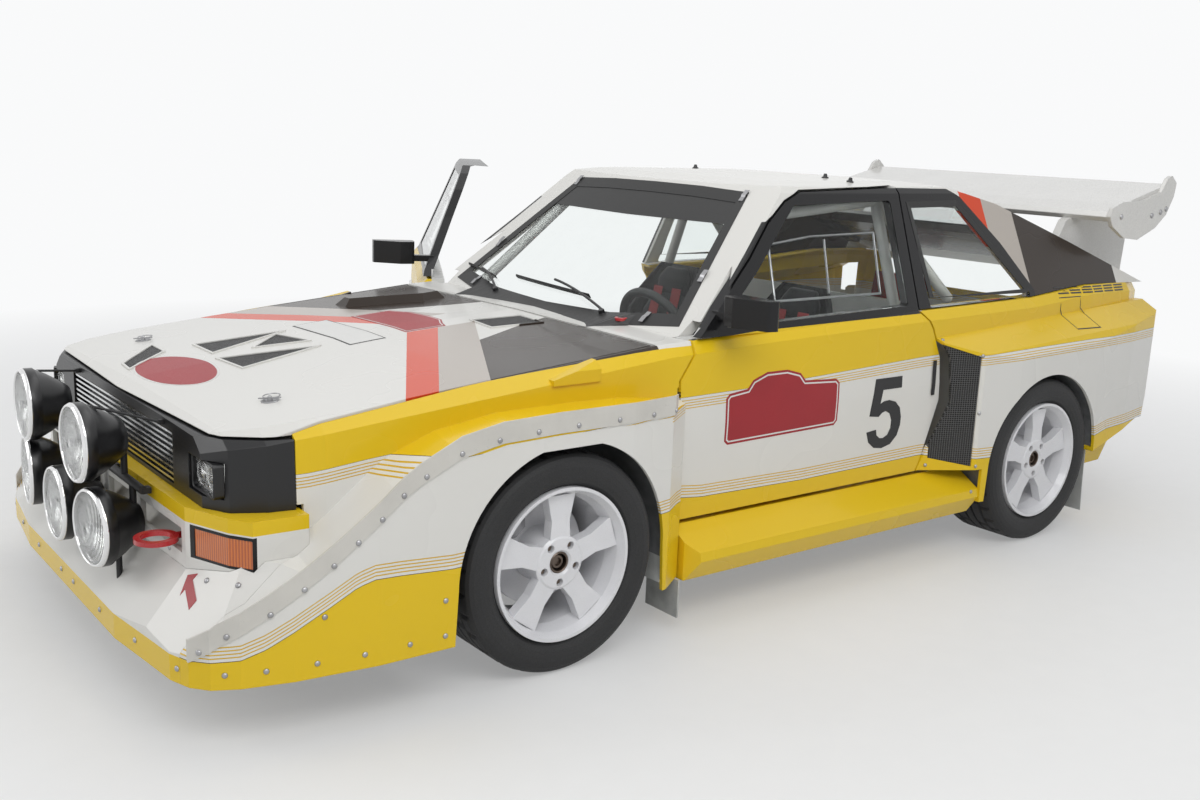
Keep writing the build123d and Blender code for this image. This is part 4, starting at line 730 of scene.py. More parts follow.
def addTyre(node, body):
    low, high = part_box(node)
    centre = (Vector(low) + Vector(high)) / 2
    centre.z = carPlace["hubZ"] / 1000
    pitch, loops = tyre["pitch"], []
    for n in range(tyre["segments"]):
        angle, loop = 2 * pi * n / tyre["segments"], []
        for y, radius, rib in tyreRows():
            cut = rib in (1, 5) and n % pitch == 0 or rib in (2, 4) and (n + 2) % (2 * pitch) == 0
            reach = radius - tyre["crossDepth"] if cut else radius
            loop.append(centre + Vector((sin(angle) * reach, y, cos(angle) * reach)) / 1000)
        loops.append(loop)
    piece = addPiece(node.replace("tyre", "tread"), skinLoops(loops), "tyreRubberWorn", body)
    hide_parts(node)
    return centre


# Wheel hardware: nuts in their recesses, hub nut and its ring
wheelHardware = {
    "nutCircle": 56.0, "nut": [(78, 0.5), (78, 9), (85, 9), (87, 7), (87, 0.5)],
    "ring": [(76, 30.5), (90, 30.5), (92, 28), (90, 25), (78, 24), (76, 24)],
    "hub": [(75, 0.5), (75, 22), (78, 22), (82, 18), (82, 12), (74, 10), (74, 0.5)],
}


def addWheelHardware(centre, axis, body, tag):
    values = wheelHardware
    nuts = []
    for n in range(5):
        angle = 2 * pi / 5 * (n + 0.5)
        place = centre + Vector((sin(angle), 0, cos(angle))) * values["nutCircle"] / 1000
        nuts.append(lathe(values["nut"], place, axis, 6))
    addPiece("wheelNuts" + tag, gather(nuts), "hubSteel", body)
    addPiece("hubRing" + tag, gather([lathe(values[key], centre, axis, 40) for key in ("ring", "hub")]), "hubSteel",
             body)


for end in ("front", "rear"):
    for side, sign in sides:
        place = f"{end}_{side.lower()}"
        hub = addTyre("tyre_" + place, "wheel_" + place)
        addWheelHardware(hub, (0, sign, 0), "wheel_" + place, end.capitalize() + side)
print("stage: wheels")

# Screws: one Geometry Nodes tree sets a domed head on every point, facing out of the surface
def screwTree():
    tree = bpy.data.node_groups.new("screwHeads", "GeometryNodeTree")
    tree.interface.new_socket("Geometry", in_out="INPUT", socket_type="NodeSocketGeometry")
    for name, value in (("Head Radius", 0.007), ("Head Height", 0.0035)):
        tree.interface.new_socket(name, in_out="INPUT", socket_type="NodeSocketFloat").default_value = value
    tree.interface.new_socket("Geometry", in_out="OUTPUT", socket_type="NodeSocketGeometry")
    source, result, head, size, shape, place, facing, align, realize, finish = (
        tree.nodes.new(kind) for kind in (
            "NodeGroupInput", "NodeGroupOutput", "GeometryNodeMeshUVSphere", "ShaderNodeCombineXYZ",
            "GeometryNodeTransform", "GeometryNodeInstanceOnPoints", "GeometryNodeInputNamedAttribute",
            "FunctionNodeAlignRotationToVector", "GeometryNodeRealizeInstances", "GeometryNodeSetMaterial"))
    facing.data_type, align.axis = "FLOAT_VECTOR", "Z"
    putInputs(head, {"Segments": 14, "Rings": 8, "Radius": 1.0})
    putInputs(facing, {"Name": "facing"})
    putInputs(finish, {"Material": bpy.data.materials["bareSteel"]})
    for start, output, end, socket in (
            (source, "Head Radius", size, "X"), (source, "Head Radius", size, "Y"), (source, "Head Height", size, "Z"),
            (size, "Vector", shape, "Scale"), (head, "Mesh", shape, "Geometry"), (source, "Geometry", place, "Points"),
            (shape, "Geometry", place, "Instance"), (facing, "Attribute", align, "Vector"),
            (align, "Rotation", place, "Rotation"), (place, "Instances", realize, "Geometry"),
            (realize, "Geometry", finish, "Geometry"), (finish, "Geometry", result, "Geometry")):
        tree.links.new(start.outputs[output], end.inputs[socket])
    return tree


# Rows of screws: (x, y, z) or (x, z) in the car's frame, each thrown against the panel from outside
screwRows = {
    "lip": [(2169, 60, 205), (2166, 300, 205), (2150, 540, 205), (2131, 765, 205), (2050, 858, 205), (1960, 886, 205),
            (1840, 905, 205), (1720, 912, 205), (1600, 917, 205), (1500, 920, 205), (1820, 905, 320), (1500, 925, 300)],
    "strip": [(2098, 262), (2045, 302), (1950, 346), (1872, 398), (1800, 446), (1740, 495), (1680, 545), (1622, 596),
              (1560, 635), (1460, 680), (1350, 701), (1230, 709), (1100, 711), (960, 710), (830, 708), (735, 707)],
    "bumper": [(2040, 500, 398), (2035, 700, 398), (1990, 800, 398)], "bumperAim": (-0.5, 0, -1), "lipAim": 1500,
    "intake": [(-579, 801), (-699, 748), (-706, 540), (-712, 345), (-556, 560), (-547, 349), (640, 250), (-705, 250)],
    "wing": [(-1677, 1215), (-1905, 1218), (-1970, 1231), (-2011, 1244), (-1560, 1228)],
    "outside": 900, "lift": 0.0005,
    "heads": {"nose": (0.0075, 0.0045), "side": (0.007, 0.004), "wing": (0.011, 0.006)},
}


def addScrews(name, spots, body="chassis"):  # spots: pairs of a place and the direction that the head faces
    spots = [(place, normal) for place, normal in spots if place is not None]
    mesh = meshFrom(name + "Points", ([place for place, normal in spots], []))
    facing = mesh.attributes.new("facing", "FLOAT_VECTOR", "POINT")
    for n, (place, normal) in enumerate(spots):
        facing.data[n].vector = normal
    points = addObject(name + "Points", mesh)
    heads = points.modifiers.new("heads", "NODES")
    heads.node_group = screws
    sizes = dict(zip(("Head Radius", "Head Height"), screwRows["heads"][name]))
    for item in screws.interface.items_tree:
        if item.name in sizes:
            heads[item.identifier] = sizes[item.name]
    finishPiece(name + "Screws", meshOf(points), "bareSteel", body, True)


def addScrewRows():
    rows, lift = screwRows, screwRows["lift"]
    nose = surfaceOf("air_dam", "front_fenders", "deflector_strips", "front_bumper")
    flank, wing = surfaceOf("side_grilles", "rear_quarters", "running_boards"), surfaceOf("wing")

    def fromSide(ground, key, sign):
        return [landOn(ground, carPoint(x, sign * rows["outside"], z), (0, -sign, 0), lift) for x, z in rows[key]]

    spots = []
    for sign in (1, -1):
        spots += [landOn(nose, carPoint(x, sign * y, z), (rows["lipAim"] - x, -sign * y, 0), lift)
                  for x, y, z in rows["lip"]]
        spots += fromSide(nose, "strip", sign)
        spots += [landOn(nose, carPoint(x, sign * y, z), rows["bumperAim"], lift) for x, y, z in rows["bumper"]]
    addScrews("nose", spots)
    addScrews("side", fromSide(flank, "intake", 1) + fromSide(flank, "intake", -1))
    addScrews("wing", fromSide(wing, "wing", 1) + fromSide(wing, "wing", -1), "tail_lid")


screws = screwTree()
addScrewRows()
print("stage: screws")

# Bare plates, spots and vents on the hood; outlines are x, y in the car's frame, lifts and walls in metres
markLifts = {"edge": 0.0008, "line": 0.0012, "face": 0.0014, "top": 0.0016}
hoodMarks = {
    "oval": (1848, 0, 95, 200), "ovalRim": 6,
    "plate": [(1240, -295), (1362, -295), (1362, 118), (1240, 118)],
    "redPlate": [(1000, -255), (1010, -290), (1155, -290), (1155, 85), (1010, 85), (1000, 50), (975, 0), (968, -100),
                 (975, -205)],
    "vents": [[(1690, -281), (1426, -237), (1695, -116)], [(1714, -19), (1446, 64), (1702, 135)],
              [(1578, -80), (1457, -205), (1430, -27)], [(905, 75), (750, 120), (755, 250), (915, 210)],
              [(1929, -210), (1788, -388), (1794, -267), (1937, -128)]],
    "rimWidth": 7, "rimStep": 25, "rimHeight": 0.004, "wall": 0.002, "meshLift": 0.0006, "meshWall": 0.001,
    "pins": [(1778, 503), (1778, -503)], "pinLoop": (0.022, 0.0016), "pinBar": (0.03, 0.002), "pinHeight": 0.008,
    "pinFoot": [(0, 0.5), (0, 24), (1.5, 24), (2.5, 22), (2.5, 7), (12, 6), (14, 4), (14, 0.5)],
}


def onHood(u, v):
    return carPoint(u, v, 900)


def ovalOf(grow):
    x, y, halfX, halfY = hoodMarks["oval"]
    return [(x + (halfX + grow) * cos(a * pi / 30), y + (halfY + grow) * sin(a * pi / 30)) for a in range(60)]


def addHoodPlates():
    marks = hoodMarks
    for name, outline, finish, layer in (
            ("OvalRim", ovalOf(marks["ovalRim"]), "plateWhite", "edge"), ("Oval", ovalOf(0), "plateRed", "face"),
            ("PlateEdge", marks["plate"], "numberBlack", "edge"),
            ("Plate", widened(marks["plate"], -5), "plateWhite", "face"),
            ("RedPlateEdge", marks["redPlate"], "plateRed", "edge"),
            ("RedPlateLine", widened(marks["redPlate"], -6), "plateWhite", "line"),
            ("RedPlate", widened(marks["redPlate"], -10), "plateRed", "top")):
        shape = plate(outline, onHood, hoodSkin, fromAbove, markLifts[layer], marks["wall"])
        addPiece("hood" + name, shape, finish, "hood")
    for n, outline in enumerate(marks["vents"]):
        loop = ordered(outline)
        mesh = plate(loop, onHood, hoodSkin, fromAbove, marks["meshLift"], marks["meshWall"])
        rim = bandOn(divided(loop, marks["rimStep"]), 0, marks["rimWidth"], onHood, hoodSkin, fromAbove,
                     marks["rimHeight"], marks["rimHeight"])
        addPiece(f"hoodVent{n}", mesh, "blackMesh", "hood")
        addPiece(f"hoodVentRim{n}", rim, "paintHood", "hood")


def addHoodPins():
    marks, parts = hoodMarks, []
    for x, y in marks["pins"]:
        foot, normal = landOn(hoodSkin, onHood(x, y), fromAbove)
        across = normal.cross(Vector((0.6, 0.8, 0))).normalized()
        ahead, middle = across.cross(normal), foot + normal * marks["pinHeight"]
        (reach, wire), (half, bar) = marks["pinLoop"], marks["pinBar"]
        loop = [middle + (across * cos(a * pi / 12) + ahead * (sin(a * pi / 12) - 0.9)) * reach for a in range(25)]
        parts += [lathe(marks["pinFoot"], foot, normal, 28), runTube(loop, wire, 8),
                  runTube([middle - across * half, middle + across * half], bar, 8)]
    addPiece("hoodPins", gather(parts), "bareSteel", "hood")


hoodSkin = surfaceOf("hood")
addHoodPlates()
addHoodPins()

# Clips of the windscreen, filler cap on the cowl, wipers; the seals' bands are (inner, outer, lift, wall)
screenTrim = {
    "clips": [(500, 905), (-500, 905), (462, 1272), (-462, 1272), (585, 1030), (-585, 1030)], "clipHalf": 0.009,
    "clipRows": ((-0.018, 0.001), (0.0, 0.0025), (0.006, 0.006), (0.03, 0.006)), "clipWall": 0.002,
    "capPlace": (566, 424, 900), "spindles": [(568, -300), (562, 325)],
    "cap": [(-1, 0.5), (-1, 17), (8, 17), (9, 21), (17, 21), (19, 19), (19, 12), (16, 10), (16, 0.5)],
    "spindle": [(-4, 0.5), (-4, 16), (8, 15), (16, 11), (26, 10), (28, 8), (28, 0.5)],
    "arms": [((568, -300, 885), (513, -420, 925), (487, -500, 932)),
             ((562, 325, 890), (525, 130, 935), (505, -20, 946))],
    "blades": [((470, -640, 940), (513, -386, 922)), ((500, -267, 938), (517, 198, 926))],
    "armRadius": 0.0045, "armLift": 0.022, "bladeLift": 0.0025, "castFrom": Vector((0.5, 0, 0)),
}


seals = {
    "windscreen": {"outline": [(0, 864), (340, 872), (640, 904), (462, 1282), (240, 1290), (0, 1292), (-240, 1290),
                               (-462, 1282), (-640, 904), (-340, 872)], "step": 30, "band": (-26, 9, 0.0022, 0.003)},
    "rearWindow": {"outline": [(-850, -500), (-850, 500), (-1412, 590), (-1412, -590)], "step": 40,
                   "band": (-18, 8, 0.002, 0.003)},
    "quarterWindow": {"outline": [(-574, 1258), (-574, 910), (-1170, 918), (-850, 1262)], "step": 30,
                      "band": (-12, 10, 0.0015, 0.0025)},
}


def addSeal(name, tag, place, ground, direction):
    inner, outer, lift, wall = seals[name]["band"]
    outline = ordered(divided(seals[name]["outline"], seals[name]["step"]))
    band = bandOn(outline, inner, outer, place, ground, direction, lift, wall)
    addPiece(name + "Seal" + tag, band, "sealRubber")


def onFront(u, v):
    return carPoint(1200, u, v)


def clip(ground, y, z):
    values = screenTrim
    place, normal = landOn(ground, onFront(y, z), fromAhead, 0.003)
    side = normal.cross(Vector((0, 0, 1))).normalized()
    rise = side.cross(normal).normalized() * (1 if z > 1000 else -1)
    side, wall = side * values["clipHalf"], normal * values["clipWall"]
    loops = []
    for along, lift in values["clipRows"]:
        middle = place + rise * along + normal * lift
        loops.append([middle - side, middle + side, middle + side + wall, middle - side + wall])
    return skinLoops(loops, closed=False)


def wiperArm(ground, path):  # a curve through three places, kept off the glass
    a, b, c = (carPoint(*p) for p in path)
    points = []
    for k in range(13):
        share = k / 12
        flat = a.lerp(b, share).lerp(b.lerp(c, share), share)
        place, normal = landOn(ground, flat + screenTrim["castFrom"], fromAhead, screenTrim["armLift"])
        points.append(place if place else flat)
    return runTube(points, screenTrim["armRadius"], 10)


def wiperBlade(ground, start, end):  # thin at the glass, broader at its back
    strip = []
    for k in range(15):
        flat = carPoint(*start).lerp(carPoint(*end), k / 14)
        place, normal = landOn(ground, flat + screenTrim["castFrom"], fromAhead, screenTrim["bladeLift"])
        if place:
            strip.append([place + normal * out + Vector((0, 0, up))
                          for out, up in ((-0.002, 0.0012), (0.012, 0.004), (0.012, -0.004), (-0.002, -0.0012))])
    return skinLoops(strip, closed=False)


def addScreenTrim():
    values = screenTrim
    ground = surfaceOf("windscreen", "roof_frame", "cowl")
    addSeal("windscreen", "", onFront, ground, fromAhead)
    addPiece("windscreenClips", gather([clip(ground, y, z) for y, z in values["clips"]]), "bareSteel")
    foot, normal = landOn(surfaceOf("cowl", "roof_frame"), carPoint(*values["capPlace"]), fromAbove)
    addPiece("fillerCap", lathe(values["cap"], foot, (0, 0, 1), 36), "redPaint")
    feet = [landOn(ground, carPoint(x, y, 1000), fromAbove)[0] for x, y in values["spindles"]]
    parts = [lathe(values["spindle"], foot, (0.4, 0, 1), 28) for foot in feet]
    parts += [wiperArm(ground, path) for path in values["arms"]]
    parts += [wiperBlade(ground, *ends) for ends in values["blades"]]
    addPiece("wipers", gather(parts), "satinBlack")


def addWindowSeals():
    glass = surfaceOf("rear_windows", "roof_frame")
    addSeal("rearWindow", "", lambda u, v: carPoint(u, v, 1600), glass, fromAbove)
    for tag, side in sides:
        addSeal("quarterWindow", tag, lambda u, v: carPoint(u, side * 1000, v), glass, (0, -side, 0))


addScreenTrim()
addWindowSeals()
print("stage: hood marks, wipers and seals")

# Number and bare plate on each door; outlines are x, z, read from outside the left door
doorMarks = {
    "number": [(14, 160), (4, 78), (30, 74), (38, 82), (48, 85), (60, 78), (67, 62), (67, 44), (60, 29), (48, 23),
               (38, 24), (29, 32), (26, 45), (0, 42), (8, 18), (24, 4), (46, 0), (70, 6), (87, 24), (94, 48), (94, 66),
               (88, 88), (74, 103), (56, 109), (42, 108), (31, 103), (36, 134), (88, 134), (88, 160)],
    "numberPlace": (-222, 440), "numberScale": (1.85, 1.55), "wall": 0.0015,
    "plate": [(442, 556), (442, 690), (428, 704), (352, 712), (330, 738), (270, 758), (180, 758), (120, 742), (96, 716),
              (-50, 708), (-66, 694), (-66, 566), (-52, 552), (428, 544)],
    "handle": [(-545, 605), (-545, 728), (-562, 728), (-562, 605)], "handleLift": 0.006,
}


def addDoorMarks():
    marks, skin = doorMarks, surfaceOf("door_left")
    (startX, startZ), (scaleX, scaleZ) = marks["numberPlace"], marks["numberScale"]
    number = [(startX - u * scaleX, startZ + v * scaleZ) for u, v in marks["number"]]
    middle = sum(x for x, z in number) / len(number)

    def onDoor(outline, lift):
        return plate(ordered(outline), lambda u, v: carPoint(u, 1000, v), skin, (0, -1, 0), lift, marks["wall"])

    addPiece("doorNumberLeft", onDoor(number, markLifts["line"]), "numberBlack", "door_left")
    turned = onDoor([(2 * middle - x, z) for x, z in number], markLifts["line"])  # so that it reads when mirrored
    addPiece("doorNumberRight", otherSide(turned, opened=True), "numberBlack", "door_right")
    for name, shrink, layer, finish in (("Edge", 0, "edge", "plateRed"), ("Line", -7, "line", "plateWhite"),
                                        ("", -12, "top", "plateRed")):
        outline = widened(marks["plate"], shrink) if shrink else marks["plate"]
        addOnDoors("doorPlate" + name, onDoor(outline, markLifts[layer]), finish)
    addOnDoors("doorHandle", onDoor(marks["handle"], marks["handleLift"]), "trimBlack")


addDoorMarks()
print("stage: door marks")

# Bucket seats. Stations: x, z, lean of the padding's face in degrees, height of the sides, half width
seatValues = {
    "middle": 350.0,
    "shell": [(196, 296, 100, 62, 186), (60, 284, 95, 96, 196), (-60, 276, 84, 118, 198), (-150, 288, 60, 138, 198),
              (-210, 340, 35, 142, 198), (-248, 430, 17, 132, 196), (-290, 600, 15, 122, 196),
              (-326, 740, 14, 104, 192), (-345, 815, 12, 66, 172), (-360, 890, 10, 40, 138), (-372, 944, 8, 26, 104)],
    "wall": 7.0, "padLift": 3.0, "padThick": 46.0, "sideThick": 17.0,
    "flatPads": [(0.035, 0.33, 148), (0.42, 0.80, 150), (0.83, 0.97, 96)], "sidePads": [(0.03, 0.36), (0.42, 0.76)],
    "voxel": 0.006, "pressure": 4.0, "frames": 20, "swell": 0.006,
    "channels": [430, 500, 570, 640, 710], "baseChannels": [-70, 10, 90], "channelHalf": 146.0,
    "channelWidth": 6.0, "channelDepth": 0.005, "strapWall": 2.6,
    "shoulderStraps": (62, 0.36, 0.84, 52.0), "crotchStrap": (0.16, 0.36, 44.0), "lapHalf": 168.0,
    "buckle": [(0, 0.5), (0, 32), (8, 32), (12, 28), (12, 0.5)], "buckleAt": (-56, 438), "buckleFaces": (0.6, 0, 0.8),
    "lapAlong": Vector((-0.78, 0, 0.62)), "lapOut": Vector((0.62, 0, 0.78)),
}


def seatPath(share):  # place, face direction, side height and half width, from the front edge to the head
    rows = seatValues["shell"]
    spot = share * (len(rows) - 1)
    k = min(int(spot), len(rows) - 2)
    t = spot - k
    x, z, lean, height, half = (a + (b - a) * t for a, b in zip(rows[k], rows[k + 1]))
    return Vector((x, 0, z)), Vector((cos(radians(lean)), 0, sin(radians(lean)))), height, half


def seatPoint(place, u):
    return carPoint(place.x, seatValues["middle"] + u, place.z)


def seatShell():
    loops, wall = [], seatValues["wall"]
    for n in range(41):
        place, face, height, half = seatPath(n / 40)
        inside = [(half, height), (half - 2, height * 0.45), (half - 14, 14), (half - 40, 0)]
        outside = [(half + wall, height), (half + wall, height * 0.45), (half - 4, 6), (half - 36, -wall)]
        inside = [(-u, h) for u, h in inside] + [(0, -3)] + inside[::-1]
        outside = outside + [(0, -wall - 3)] + [(-u, h) for u, h in outside[::-1]]
        loops.append([seatPoint(place + face * h, u) for u, h in inside + outside])
    return skinLoops(loops, closed=False)


def rounded(angle, power):  # a cosine flattened towards a square
    return abs(angle) ** power * (1 if angle > 0 else -1)


def padForm(start, end, across, sideways=False, steps=22):
    # a crowned closed pad along the seat; across is a flat pad's half width or a side pad's side
    loops = []
    for n in range(-2, steps + 3):
        t = min(1.0, max(0.0, n / steps))
        ends = {-2: 0.35, -1: 0.8, steps + 1: 0.8, steps + 2: 0.35}.get(n, 1.0)
        place, face, height, half = seatPath(start + (end - start) * t)
        ahead = seatPath(min(1.0, start + (end - start) * t + 0.01))[0] - place
        ahead = ahead.normalized() if ahead.length else Vector((0, 0, 1))
        place = place + ahead * ({-2: -9, -1: -5, steps + 1: 5, steps + 2: 9}.get(n, 0))
        if sideways:
            middle, reach, low, thick = across * (half - 22), seatValues["sideThick"], 6.0, max(20.0, height * 0.92)
        else:
            middle, reach, low = 0.0, min(across, half - 46), seatValues["padLift"]
            thick = seatValues["padThick"] * (0.9 + 0.2 * sin(pi * t))
        ring = []
        for k in range(20):
            u, v = rounded(cos(2 * pi * k / 20), 0.6), rounded(sin(2 * pi * k / 20), 0.7)
            ring.append(seatPoint(place + face * (low + thick / 2 + thick / 2 * ends * v),
                                  middle + reach * (0.9 + 0.1 * ends) * u))
        loops.append(ring)
    return skinLoops(loops, closed=False)


def swollen(name, part):  # the pads blown up a little as cloth, so that they crown and crease like filled covers
    pad = addObject(name, meshFrom(name, part))
    remesh = pad.modifiers.new("even", "REMESH")
    remesh.mode, remesh.voxel_size = "VOXEL", seatValues["voxel"]
    even = meshOf(pad)
    before = [v.co.copy() for v in even.vertices]
    pad = addObject(name, even)
    cloth = pad.modifiers.new("cover", "CLOTH")
    cloth.settings.use_pressure = True
    cloth.settings.uniform_pressure_force = seatValues["pressure"]
    cloth.settings.quality = 4
    cloth.settings.effector_weights.gravity = 0.0
    cloth.point_cache.frame_start, cloth.point_cache.frame_end = 1, seatValues["frames"]
    scene = bpy.context.scene
    for frameNumber in range(1, seatValues["frames"] + 1):
        scene.frame_set(frameNumber)
    result = bpy.data.meshes.new_from_object(pad.evaluated_get(bpy.context.evaluated_depsgraph_get()))
    scene.frame_set(1)
    bpy.data.objects.remove(pad)
    for vertex, start in zip(result.vertices, before):
        move = vertex.co - start
        if move.length > seatValues["swell"]:
            vertex.co = start + move.normalized() * seatValues["swell"]
    return result


def sewChannels(mesh):  # stitched channels across the back and base, pressed into the pads
    values = seatValues

    def dip(place, channels):
        return values["channelDepth"] * sum(exp(-((place - c) / values["channelWidth"]) ** 2) for c in channels)

    for vertex in mesh.vertices:
        x, y, z = (vertex.co - carShift) * 1000
        if abs(y - values["middle"]) > values["channelHalf"]:
            continue
        if z > 400 and vertex.normal.x > 0.3:
            vertex.co.x -= dip(z, values["channels"])
        if z < 400 and vertex.normal.z > 0.3 and x > -120:
            vertex.co.z -= dip(x, values["baseChannels"])


def mirroredMesh(mesh, name):
    copy = mesh.copy()
    copy.name = name
    for vertex in copy.vertices:
        vertex.co.y = 2 * carShift.y - vertex.co.y
    copy.flip_normals()
    return copy


def seatBelt(offset, start, end, width):  # a flat strap that follows the padding; offset: at its start, at its end
    loops = []
    for n in range(31):
        place, face, height, half = seatPath(start + (end - start) * n / 30)
        rise = seatValues["padLift"] + seatValues["padThick"] * 1.08 + 6
        middle, wall = offset[0] + (offset[1] - offset[0]) * n / 30, seatValues["strapWall"]
        loops.append([seatPoint(place + face * (rise + h), middle + u) for u, h in
                      ((-width / 2, 0), (width / 2, 0), (width / 2, wall), (-width / 2, wall))])
    return skinLoops(loops, closed=False)


def lapBelt():
    loops, half, wall = [], seatValues["lapHalf"], seatValues["strapWall"]
    for n in range(33):
        t = n / 32
        crown = sin(pi * t)
        place = Vector((-84 + 46 * crown, 0, 382 + 60 * crown - 30 * abs(2 * t - 1)))
        loops.append([seatPoint(place + seatValues["lapAlong"] * along + seatValues["lapOut"] * h, 2 * half * t - half)
                      for along, h in ((-25, 0), (25, 0), (25, wall), (-25, wall))])
    return skinLoops(loops, closed=False)


def addSeats():
    values = seatValues
    pads = [padForm(*row) for row in values["flatPads"]]
    pads += [padForm(start, end, side, True) for start, end in values["sidePads"] for side in (1, -1)]
    cushions = swollen("seatPads", gather(pads))
    sewChannels(cushions)
    offset, start, end, width = values["shoulderStraps"]
    straps = [seatBelt((side * offset, side * (offset - 6)), start, end, width) for side in (1, -1)]
    straps = gather(straps + [seatBelt((0, 0), *values["crotchStrap"]), lapBelt()])
    x, z = values["buckleAt"]
    buckle = lathe(values["buckle"], carPoint(x, values["middle"], z), values["buckleFaces"], 36)
    parts = {"seatShell": (seatShell(), "trimBlack"), "harness": (straps, "beltRed"),
             "harnessBuckle": (buckle, "redPaint")}
    for tag, side in sides:
        mesh = cushions if side > 0 else mirroredMesh(cushions, "seatPadsRight")
        piece = finishPiece("seatCushions" + tag, mesh, "seatCloth", "chassis", True)
        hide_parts("seats")
        for name, (part, finish) in parts.items():
            piece = addPiece(name + tag, part if side > 0 else otherSide(part), finish)
            if name == "seatShell":
                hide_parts("seats")


addSeats()
print("stage: seats and harness")

# Small fittings of the cabin, the sides and the back, in the car's frame; layers are (lift, wall) in metres
layers = {"film": (0.0006, 0.0012), "arrow": (0.0012, 0.002), "mirror": (0.001, 0.0015), "slot": (0.0008, 0.0015),
          "plateRim": (0.001, 0.002), "plate": (0.0018, 0.002)}
fittings = {
    "sunStrip": [(548, 1190), (462, 1275), (240, 1283), (0, 1285), (-240, 1283), (-462, 1275), (-548, 1190),
                 (0, 1186)],
    "arrow": [(2049, 629), (2076, 649), (2064, 651), (2076, 707), (2058, 711), (2046, 655), (2034, 658)],
    "mirror": (900, 965, 52, 30, 8), "plate": (0, 615, 255, 55, 8), "plateRim": 4,
    "fuelFlap": [(-1316, 800), (-1453, 800), (-1453, 908), (-1316, 908)], "fuelLine": 1.5,
    # louvre: its slots are drawn as black plates, painted shade for the openings
    "louvre": [(-1310, 747, 947), (-1804, 752, 941), (-1788, 774, 912), (-1316, 774, 918)],
    "louvreGrid": (3, 6), "louvreSlot": ((0.08, 0.18), (0.92, 0.18), (0.92, 0.7), (0.08, 0.7)),
    "cornerCap": [(738, 566), (800, 566), (800, 728), (782, 742), (738, 748)], "cornerCapX": (-1884, -1888),
    "flap": (-1462, 650, 880, 4), "flapRows": [(330, 0), (240, -3), (150, -8), (52, -16)],
    "roofSpots": [(-411, 353), (-383, 497), (-411, -353)],
    "roofFitting": [(-1, 0.5), (-1, 13), (3, 13), (6, 8), (14, 6), (16, 4), (16, 0.5)],
    "wheelHub": (340, 350, 800), "wheelLean": 24.0,
    "wheelPad": [(10, 0.5), (10, 36), (20, 40), (27, 38), (31, 26), (31, 0.5)],
    "wheelRing": [(26, 40), (28, 42), (28, 46), (24, 46), (24, 40)],
    "sideFrame": [(-358, 650, 1165), (-42, 653, 1159), (159, 662, 1138), (187, 736, 966), (-319, 736, 967)],
    "sideBar": [(-105, 657, 1148), (-68, 731, 978)], "frameInset": 10.0, "frameRadius": (0.0045, 0.004),
}


def addScreenMarks():
    strip = plate(fittings["sunStrip"], onFront, surfaceOf("windscreen"), fromAhead, *layers["film"])
    addPiece("sunStrip", strip, "sealRubber")
    dam = surfaceOf("air_dam")
    for tag, side in sides:
        outline = ordered([(u, side * v) for u, v in fittings["arrow"]])
        arrow = plate(outline, lambda u, v: carPoint(u, v, 700), dam, fromAbove, *layers["arrow"])
        addPiece("dam" + tag + "Arrow", arrow, "plateRed")


def addMirrorGlass():
    glass = plate(roundedLoop(*fittings["mirror"]), lambda u, v: carPoint(100, u, v), surfaceOf("door_left"),
                  fromBehind, *layers["mirror"])
    addOnDoors("mirrorGlass", glass, "mirrorGlass")


# the louvre's slots as thin satin-black plates on the deck: painted shade standing in for the dark openings
def louvre(deck, side):
    a, b, c, d = (Vector(p) for p in fittings["louvre"])
    rows, columns = fittings["louvreGrid"]
    slots = []
    for row in range(rows):
        for column in range(columns):
            corners = []
            for s, t in fittings["louvreSlot"]:
                along, down = (column + s) / columns, (row + t) / rows
                spot = a.lerp(b, along).lerp(d.lerp(c, along), down)
                corners.append((spot.x, spot.z))
            slots.append(plate(ordered(corners), lambda u, v: carPoint(u, side * 1000, v), deck, (0, -side, 0),
                               *layers["slot"]))
    return gather(slots)


def addSideFittings():
    deck = surfaceOf("rear_quarters", "rear_panel", "roof_frame", "rear_windows", "tail_lid")
    x, inner, outer, wall = fittings["flap"]
    for tag, side in sides:
        addPiece("louvre" + tag, louvre(deck, side), "satinBlack")
        rows = [[carPoint(x + lean - back, side * y, z) for y, back in
                 ((inner, 0), (outer, 0), (outer, wall), (inner, wall))] for z, lean in fittings["flapRows"]]
        addPiece("rearFlap" + tag, skinLoops(rows, closed=False), "flapPlastic")
    caps = [skinLoops([[carPoint(x, side * y, z) for y, z in fittings["cornerCap"]]
                       for x in fittings["cornerCapX"]], closed=False) for tag, side in sides]
    addPiece("rearCornerCaps", gather(caps), "paintQuarter")
    line = bandOn(divided(ordered(fittings["fuelFlap"]), 20), -fittings["fuelLine"], fittings["fuelLine"],
                  lambda u, v: carPoint(u, 1000, v), surfaceOf("rear_quarters", "side_grilles"), (0, -1, 0),
                  *layers["film"])
    addPiece("fuelFlapLine", line, "sealRubber")


def addRearPlate():
    ground = surfaceOf("rear_panel", "rear_bumper", "tail_lid")
    y, z, half, tall, corner = fittings["plate"]
    for name, grow, layer, finish in (("rearPlateEdge", fittings["plateRim"], "plateRim", "numberBlack"),
                                      ("rearPlate", 0, "plate", "plateWhite")):
        shape = plate(roundedLoop(y, z, half + grow, tall + grow, corner), lambda u, v: carPoint(-2600, u, v), ground,
                      fromBehind, *layers[layer])
        addPiece(name, shape, finish)


def addRoofFittings():
    roof = surfaceOf("roof_frame")
    feet = [landOn(roof, carPoint(x, y, 1500), fromAbove) for x, y in fittings["roofSpots"]]
    addPiece("roofFittings", gather([lathe(fittings["roofFitting"], *foot, 24) for foot in feet]), "satinBlack")


